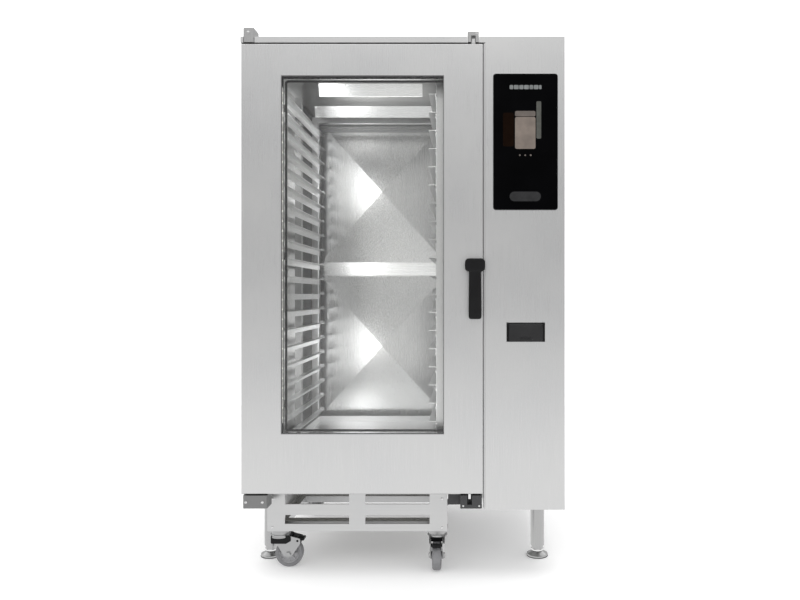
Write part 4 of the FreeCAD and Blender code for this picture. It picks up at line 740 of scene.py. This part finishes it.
# --- pieces: casing, feet and services --------------------------------------------------
def rear_louvre_hoods():
    """Pressed hoods that shed water over the cooling slots of the rear panel."""
    back = lo_hi("rear_panel")[3]
    bm = bmesh.new()
    steps = 12
    for field in LOUVRE_FIELDS_Z:
        for row in range(LOUVRE_ROWS):
            z = field + LOUVRE_PITCH * row + 9.5 * MM
            rings = []
            for t in range(steps + 1):
                along = -1 + 2 * t / steps
                rise = 5.5 * MM * math.sqrt(max(0.0, 1 - abs(along) ** 10)) + 0.3 * MM
                x = LOUVRE_X + along * LOUVRE_HALF_W
                rings.append([(x, back - 0.3 * MM, z + 2.5 * MM), (x, back + rise * 0.55, z + 0.8 * MM),
                              (x, back + rise, z - 4.5 * MM), (x, back + rise - 0.9 * MM, z - 4.9 * MM),
                              (x, back + rise * 0.45 - 0.5 * MM, z - 0.4 * MM), (x, back - 0.3 * MM, z + 1.2 * MM)])
            add_loft(bm, rings)
    finish_piece("rear_louvre_hoods", bm, "cabinet", CASING, angle=60)


def casing_screws():
    """Countersunk screws along the edges of the side panels and the top cover."""
    bm = bmesh.new()
    x0, _, y0, y1, z0, z1 = lo_hi("left_side_panel")
    x1 = lo_hi("right_side_panel")[1]
    for x, axis in ((x0 + 1.5 * MM, "-x"), (x1 - 1.5 * MM, "+x")):
        for y in (y1 - 0.03, y0 + 0.42, y0 + 0.03):
            add_screw(bm, x, y, z0 + 0.02, axis, 4.2 * MM, 1.5 * MM)
    back = lo_hi("top_cover")[3]
    for x in (-0.45, -0.15, 0.15, 0.45):
        add_screw(bm, x, back, z1 + 0.01, "+y", 4.2 * MM, 1.5 * MM)
    finish_piece("casing_screws", bm, "cabinet", BRIGHT)


def vent_bead():
    """Weld bead where the exhaust stub passes the top cover."""
    top = lo_hi("top_cover")[5]
    bm = bmesh.new()
    profile = [(VENT_R / MM + 2.6 * math.cos(math.radians(a)), 1.0 + 1.8 * math.sin(math.radians(a)))
               for a in range(0, 360, 30)]
    add_lathe(bm, mm_points(profile + profile[:1]), VENT_PLACE + (top,), "z", 60)
    finish_piece("vent_bead", bm, "cabinet", BRIGHT)


def foot_details():
    """Hexagon nut and black sole of each levelling foot."""
    x0, x1, y0, y1, _, _ = lo_hi("levelling_feet")
    nuts, soles = bmesh.new(), bmesh.new()
    for x in (x0 + FOOT_R, x1 - FOOT_R):
        for y in (y0 + FOOT_R, y1 - FOOT_R):
            add_lathe(nuts, mm_points([(16, 20.4), (22.4, 20.4), (24.4, 21.6), (24.4, 27.0), (22.4, 28.2),
                                       (16, 28.2), (16, 20.4)]), (x, y, 0), "z", 6)
            add_lathe(soles, mm_points([(36.4, 0.0), (38.6, 0.4), (38.9, 2.2), (38.3, 3.2), (36.4, 3.2), (36.4, 0.0)]),
                      (x, y, 0), "z", 56)
    finish_piece("foot_nuts", nuts, "cabinet", BRIGHT, bevel=0.4 * MM, segments=2)
    finish_piece("foot_soles", soles, "cabinet", BLACK_RUBBER)


# --- pieces: cavity and column edge ------------------------------------------------------
def back_wall_rib():
    """Sloped cover strip across the seam between the two fields of the back wall."""
    half_w = 0.306
    bm = bmesh.new()
    add_prism(bm, mm_points([(0, 0.5), (0, 62), (-1.2, 62), (-15.6, 3.2), (-15.6, 0.9), (-14.6, 0.5)]), 2 * half_w,
              lambda u, v, w: Vector((CAVITY_MIDDLE_X - half_w + w, CAVITY_BACK_Y + u, WALL_SEAM_Z + v)))
    finish_piece("back_wall_rib", bm, "cabinet", RIB, smooth=False)


def ceiling_ribs():
    """Two folded deflectors that lead condensate across the ceiling of the cavity."""
    outline = mm_points([(0, 0), (19, -43), (21.5, -43.5), (23.5, -42), (23.5, 0)])
    bm = bmesh.new()
    for front_y, x0, x1 in ((-0.142, -0.345, 0.045), (0.168, -0.43, 0.085)):
        add_prism(bm, outline, x1 - x0,
                  lambda u, v, w, front_y=front_y, x0=x0: Vector((x0 + w, front_y + u, CEILING_Z + v)))
    finish_piece("ceiling_ribs", bm, "cabinet", RIB, smooth=False)


def air_outlet():
    """Louvred outlet along the top of the back wall, its box in dark steel as painted shade."""
    x0, x1, z0, slat_inset = -0.452, 0.122, 1.676, 0.015
    slat_y = CAVITY_BACK_Y - 9.5 * MM
    bm = bmesh.new()
    add_prism(bm, mm_points([(0, 0), (0, 66), (-2, 66), (-9.5, 60), (-9.5, 6), (-6, 0)]), x1 - x0,
              lambda u, v, w: Vector((x0 + w, CAVITY_BACK_Y + u, z0 + v)))
    finish_piece("air_outlet_box", bm, "cabinet", OUTLET_SHADE, bevel=0.5 * MM, segments=2)
    bm = bmesh.new()
    for i in range(4):
        z = z0 + (13 + 13.5 * i) * MM
        add_prism(bm, mm_points([(0.3, 0), (-3.2, -3.4), (-3.6, -2.8), (0.3, 1.6)]), x1 - x0 - 2 * slat_inset,
                  lambda u, v, w, z=z: Vector((x0 + slat_inset + w, slat_y + u, z + v)))
    finish_piece("air_outlet_slats", bm, "cabinet", CAVITY, bevel=0.15 * MM, segments=1)


def column_edge_strip():
    """Folded edge of the control column that shows in the gap beside the door."""
    x0, _, y0, _, z0, z1 = lo_hi("column_front_panel")
    end_gap = 2 * MM
    bm = bmesh.new()
    add_prism(bm, mm_points([(-5.6, 34), (-5.6, 3.2), (-4.4, 2.0), (-0.2, 2.0), (-0.2, 34)]), z1 - z0 - 2 * end_gap,
              lambda u, v, w: Vector((x0 + u, y0 + v, z0 + end_gap + w)))
    finish_piece("column_edge_strip", bm, "cabinet", FRAME, bevel=0.3 * MM, segments=2)


# --- pieces: rack trolley ---------------------------------------------------------------
def runner_welds():
    """Small fillets where the runners meet the posts of the rack."""
    x0, x1, _, _, z0, _ = lo_hi("rack_runners")
    bm = bmesh.new()
    middle = (x0 + x1) / 2
    for i in range(TRAY_LEVELS):
        z = z0 + RUNNER_DROP + i * TRAY_PITCH - 9 * MM
        for side in (-1, 1):
            x = middle + side * 271.6 * MM
            for y in POST_Y:
                for edge in (-12.6, 12.6):
                    add_lathe(bm, mm_points([(0, -6), (1.3, -5), (1.9, -2.5), (1.7, 0), (1.9, 2.5), (1.3, 5), (0, 6)]),
                              (x, y + edge * MM, z), "z", 6)
    finish_piece("runner_welds", bm, "trolley", WELD, angle=80)


def tray_stops():
    """Turned-up ends of the runners that keep the trays from sliding out at the back."""
    x0, x1, _, y1, z0, _ = lo_hi("rack_runners")
    middle = (x0 + x1) / 2
    bm = bmesh.new()
    for i in range(TRAY_LEVELS):
        z = z0 + RUNNER_DROP + i * TRAY_PITCH
        for side in (-1, 1):
            near, far = middle + side * 250 * MM, middle + side * 268 * MM
            add_box(bm, min(near, far), max(near, far), y1 - 1.9 * MM, y1 - 0.1 * MM, z - 0.5 * MM, z + 9 * MM)
    finish_piece("tray_stops", bm, "trolley", RACK, bevel=0.6 * MM, segments=2)


def trolley_side_plates():
    """Folded plates that stiffen the rack's base on both sides, below the drip pan."""
    x0, x1, y0, y1, _, _ = lo_hi("rack_uprights")
    low, high = lo_hi("trolley_base")[5] + 1 * MM, lo_hi("trolley_front_frame")[5] - 5 * MM
    bm = bmesh.new()
    for x, side in ((x0, 1), (x1, -1)):
        outline = mm_points([(9, 0), (22, 0), (22, 2), (11, 2), (11, (high - low) / MM), (9, (high - low) / MM)])
        add_prism(bm, outline, y1 - y0 - 0.03,
                  lambda u, v, w, x=x, side=side: Vector((x + side * u, y0 + 0.01 + w, low + v)))
    finish_piece("trolley_side_plates", bm, "trolley", FRAME, bevel=0.4 * MM, segments=2)


def frame_bolts():
    """Bolts of the slotted front frame."""
    x0, x1, y0, _, z0, z1 = lo_hi("trolley_front_frame")
    bm = bmesh.new()
    for x in (x0 + 18 * MM, x1 - 18 * MM):
        for z in (z0 + 12 * MM, z1 - 22 * MM):
            add_screw(bm, x, y0, z, "-y", 4.6 * MM, 2.2 * MM)
    finish_piece("frame_bolts", bm, "trolley", BRIGHT)


def castor_matrix(place):
    """Turns the castor's own axes, trail along X and axle along Y, into the shared frame."""
    swivel = Vector(JOINTS[f"swivel_{place}"]["pos_m"])
    wheel = Vector(JOINTS[f"roll_{place}"]["pos_m"])
    trail = Vector((wheel.x - swivel.x, wheel.y - swivel.y, 0)).normalized()
    axle = Vector((-trail.y, trail.x, 0))
    return Matrix((
        (trail.x, axle.x, 0, swivel.x), (trail.y, axle.y, 0, swivel.y), (0, 0, 1, 0), (0, 0, 0, 1)))


def placed(bm, place):
    """Moves a mesh from the castor's own axes to its place."""
    bmesh.ops.transform(bm, matrix=castor_matrix(place), verts=bm.verts)
    return bm


def castor_wheel(place):
    """Tyre with rounded shoulders on a ribbed hub."""
    centre = (CASTOR_TRAIL, 0, WHEEL_R)
    bm = bmesh.new()
    tyre = [(34.5, -12.2), (37, -14.2), (42.5, -15), (46.4, -13.4), (47.8, -10.2), (48, -6), (48, 6), (47.8, 10.2),
            (46.4, 13.4), (42.5, 15), (37, 14.2), (34.5, 12.2)]
    add_lathe(bm, mm_points(tyre + tyre[:1]), centre, "y", 72)
    piece = finish_piece(f"wheel_tyre_{place}", placed(bm, place), f"wheel_{place}", GREY_TYRE, angle=50)
    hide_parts(f"castor_wheel_{place}")
    bm = bmesh.new()
    hub = [(6.6, -19.4), (12.6, -19.4), (13.6, -18.2), (13.8, -8), (16, -5.4), (29, -4.6), (31.8, -7), (33.4, -11),
           (35.2, -12), (35.2, 12), (33.4, 11), (31.8, 7), (29, 4.6), (16, 5.4), (13.8, 8), (13.6, 18.2), (12.6, 19.4),
           (6.6, 19.4)]
    add_lathe(bm, mm_points(hub + hub[:1]), centre, "y", 60)
    for i in range(8):
        turn = Matrix.Rotation(math.pi * i / 4, 4, "Y")
        for side in (-1, 1):
            verts = add_box(bm, 13 * MM, 32 * MM, *sorted((side * 4.6 * MM, side * 9.6 * MM)), -1.1 * MM, 1.1 * MM)
            bmesh.ops.transform(bm, matrix=Matrix.Translation(centre) @ turn, verts=verts)
    finish_piece(f"wheel_hub_{place}", placed(bm, place), f"wheel_{place}", HUB_GREY)


def castor_fork_details(place):
    """Ball race under the mounting plate, and the axle's nut and washers."""
    bm = bmesh.new()
    add_lathe(bm, mm_points([(22, 103.4), (31, 103.4), (34.6, 105.6), (35.6, 109), (34.6, 113), (31.4, 116), (30, 116),
                             (22, 116), (22, 103.4)]), (0, 0, 0), "z", 48)
    for side in (-1, 1):
        add_lathe(bm, [(6 * MM, side * 23 * MM), (11 * MM, side * 23 * MM), (11 * MM, side * 24.4 * MM),
                       (6 * MM, side * 24.4 * MM)], (CASTOR_TRAIL, 0, WHEEL_R), "y", 28)
        add_lathe(bm, [(5.8 * MM, side * 24.3 * MM), (9.6 * MM, side * 24.3 * MM), (9.6 * MM, side * 27.6 * MM),
                       (8.6 * MM, side * 28.6 * MM), (5.8 * MM, side * 28.6 * MM)], (CASTOR_TRAIL, 0, WHEEL_R), "y", 6)
    finish_piece(f"castor_race_{place}", placed(bm, place), f"castor_{place}", ZINC)


def castor_hood(place):
    """Black housing round the shoulders of a braked castor's fork."""
    bm = bmesh.new()
    low, high, back, front = 85, 113.5, -28, 41      # millimetres, from the swivel and the floor
    cheek = [(back, low + 3), (back + 3, low), (front - 16, low), (front, low + 9), (front, high - 6),
             (front - 6, high), (back + 2, high), (back, high - 2)]
    for y in (-26.4, 23.4):
        add_prism(bm, mm_points(cheek), 3 * MM, lambda u, v, w, y=y: Vector((u, y * MM + w, v)))
    add_box(bm, back * MM, (back + 2.6) * MM, -24 * MM, 24 * MM, (low + 3) * MM, (high - 2) * MM)
    add_box(bm, 38 * MM, 40.5 * MM, -22 * MM, 22 * MM, 98.5 * MM, 112 * MM)
    finish_piece(f"castor_hood_{place}", placed(bm, place), f"castor_{place}", BLACK_PLASTIC,
                 bevel=0.8 * MM, segments=2)


def brake_tread(place):
    """Foot rest of the wheel brake with raised grip bars."""
    x0, x1, z = 65 * MM, 86 * MM, 100 * MM
    bm = bmesh.new()
    add_prism(bm, rounded_rect((x1 - x0) / 2, 15.4 * MM, 4 * MM), 2.4 * MM,
              lambda u, v, w: Vector(((x0 + x1) / 2 + u, v, z - 1.4 * MM + w)))
    for i in range(4):
        x = x0 + (3.4 + 4.6 * i) * MM
        add_prism(bm, mm_points([(0, 0), (0.5, 1.3), (1.6, 1.3), (2.1, 0)]), 24 * MM,
                  lambda u, v, w, x=x: Vector((x + u, -12 * MM + w, z + 0.9 * MM + v)))
    finish_piece(f"brake_tread_{place}", placed(bm, place), f"brake_{place}", BLACK_PLASTIC,
                 bevel=0.4 * MM, segments=2)


# --- stage ----------------------------------------------------------------------------
CAMERA_PLACE = (0.2245, -2.74, 0.949)
CAMERA_LENS, CAMERA_SENSOR = 31.1, 36.0
CAMERA_SHIFT = (-0.0875, -0.006)
TOP_LIGHT_POWER, TOP_LIGHT_Z, TOP_LIGHT_SIZE = 225, 6.0, 6.0
LAMP_POWER = 0.36                          # lamps of the door's left side
FAR_LAMP_FACTOR, FAR_LAMP_SPREAD = 2.3, 80     # those of its right side, and their spread in degrees
LAMP_LEVELS = (("upper", 1.51, 0.26), ("lower", 0.675, 0.28))    # height of the middle and length
CEILING_LAMP_POWER, LOW_LAMP_POWER = 0.12, 0.04
FLOOR_REACH, FLOOR_GREY, FLOOR_GLOW = 3.2, 0.82, 0.24
SKY_PEAK = 1.6                             # brightest band of the studio, above eye level
SKY_BANDS = (
    (0.0, 0.7), (0.25, 0.85), (0.34, 1.03), (0.385, 1.17), (0.43, 0.88), (0.5, 0.46), (0.54, 0.52), (0.65, 0.6),
    (0.71, 0.8), (0.745, SKY_PEAK), (0.8, SKY_PEAK), (0.85, 0.95), (1.0, 0.9))    # from straight down to straight up


def make_camera():
    """Camera straight in front, shifted so that its view frames the oven."""
    data = bpy.data.cameras.new("camera")
    data.lens = CAMERA_LENS
    data.sensor_width = CAMERA_SENSOR
    data.shift_x, data.shift_y = CAMERA_SHIFT
    camera = bpy.data.objects.new("camera", data)
    camera.location = CAMERA_PLACE
    camera.rotation_euler = (math.radians(90), 0, 0)
    bpy.context.scene.collection.objects.link(camera)
    bpy.context.scene.camera = camera


def add_light(name, place, target, size, energy):
    """Rectangular white light at a place, facing a target."""
    data = bpy.data.lights.new(name, "AREA")
    data.shape = "RECTANGLE"
    data.size, data.size_y = size
    data.energy = energy
    light = bpy.data.objects.new(name, data)
    light.location = place
    light.rotation_euler = (Vector(target) - Vector(place)).to_track_quat("-Z", "Y").to_euler()
    bpy.context.scene.collection.objects.link(light)
    return light


def make_floor():
    """Plain pale floor that metal doesn't mirror."""
    bm = bmesh.new()
    bm.faces.new([bm.verts.new((x * FLOOR_REACH, y * FLOOR_REACH, 0)) for x, y in ((-1, -1), (1, -1), (1, 1), (-1, 1))])
    mesh = bpy.data.meshes.new("floor")
    bm.to_mesh(mesh)
    bm.free()
    floor = bpy.data.objects.new("floor", mesh)
    bpy.context.scene.collection.objects.link(floor)
    m = Nodes("pale_floor")
    m.set(Base_Color=(FLOOR_GREY, FLOOR_GREY, FLOOR_GREY, 1), Roughness=0.9, Specular_IOR_Level=0.1,
          Emission_Color=(1, 1, 1, 1), Emission_Strength=FLOOR_GLOW)
    mesh.materials.append(m.material)
    floor.visible_glossy = False


def make_world():
    """White behind the oven; for light and reflections a studio of soft bands, darkest at eye level."""
    world = bpy.data.worlds.new("studio")
    bpy.context.scene.world = world
    world.use_nodes = True
    tree = world.node_tree
    background = tree.nodes["Background"]
    place = tree.nodes.new("ShaderNodeTexCoord")
    split = tree.nodes.new("ShaderNodeSeparateXYZ")
    tree.links.new(place.outputs["Generated"], split.inputs[0])
    lift = tree.nodes.new("ShaderNodeMapRange")
    lift.inputs["From Min"].default_value = -1.0
    tree.links.new(split.outputs["Z"], lift.inputs["Value"])
    ramp = tree.nodes.new("ShaderNodeValToRGB")
    tree.links.new(lift.outputs["Result"], ramp.inputs["Fac"])
    while len(ramp.color_ramp.elements) < len(SKY_BANDS):
        ramp.color_ramp.elements.new(0.5)
    for element, (position, grey) in zip(ramp.color_ramp.elements, SKY_BANDS):
        element.position = position
        element.color = (grey / SKY_PEAK, grey / SKY_PEAK, grey / SKY_PEAK, 1)
    path = tree.nodes.new("ShaderNodeLightPath")
    mix = tree.nodes.new("ShaderNodeMix")
    mix.data_type = "RGBA"
    mix.inputs[7].default_value = (1, 1, 1, 1)
    tree.links.new(path.outputs["Is Camera Ray"], mix.inputs[0])
    tree.links.new(ramp.outputs["Color"], mix.inputs[6])
    tree.links.new(mix.outputs[2], background.inputs["Color"])
    background.inputs["Strength"].default_value = SKY_PEAK


def make_lights():
    """A soft light overhead, and lamps in the door that light the cavity."""
    add_light("top", (0, 0, TOP_LIGHT_Z), (0, 0, 0), (TOP_LIGHT_SIZE, TOP_LIGHT_SIZE),
              TOP_LIGHT_POWER).visible_glossy = False
    x0, x1, _, y1, _, _ = lo_hi("door_glass_inner")
    lamp_y = y1 + 0.025
    for level, z, height in LAMP_LEVELS:
        add_light(f"cavity_{level}_left", (x0 + 0.05, lamp_y, z), (CAVITY_MIDDLE_X, CAVITY_BACK_Y, z), (0.13, height),
                  LAMP_POWER)
        lamp = add_light(f"cavity_{level}_right", (x1 - 0.05, lamp_y, z), (-0.48, -0.1, z), (0.06, height * 1.8),
                         LAMP_POWER * FAR_LAMP_FACTOR)
        lamp.data.spread = math.radians(FAR_LAMP_SPREAD)
    add_light("cavity_top", (CAVITY_MIDDLE_X, -0.06, 1.66), (CAVITY_MIDDLE_X, -0.36, 1.72), (0.4, 0.05),
              CEILING_LAMP_POWER)
    add_light("cavity_low", (CAVITY_MIDDLE_X, lamp_y, 0.45), (CAVITY_MIDDLE_X, CAVITY_BACK_Y, 0.5), (0.4, 0.06),
              LOW_LAMP_POWER)


dress_cad_nodes()
handle_lever()
door_gasket()
window_borders()
window_bead()
inner_pane_clips()
lamp_chips()
display_picture()
display_trim()
flap_cover()
hinge_details()
rear_louvre_hoods()
casing_screws()
vent_bead()
foot_details()
back_wall_rib()
ceiling_ribs()
air_outlet()
column_edge_strip()
runner_welds()
tray_stops()
trolley_side_plates()
frame_bolts()
for castor in CASTORS:
    castor_wheel(castor)
    castor_fork_details(castor)
for castor in BRAKED_CASTORS:
    castor_hood(castor)
    brake_tread(castor)
make_camera()
make_floor()
make_world()
make_lights()
bpy.context.scene.view_settings.view_transform = "Standard"
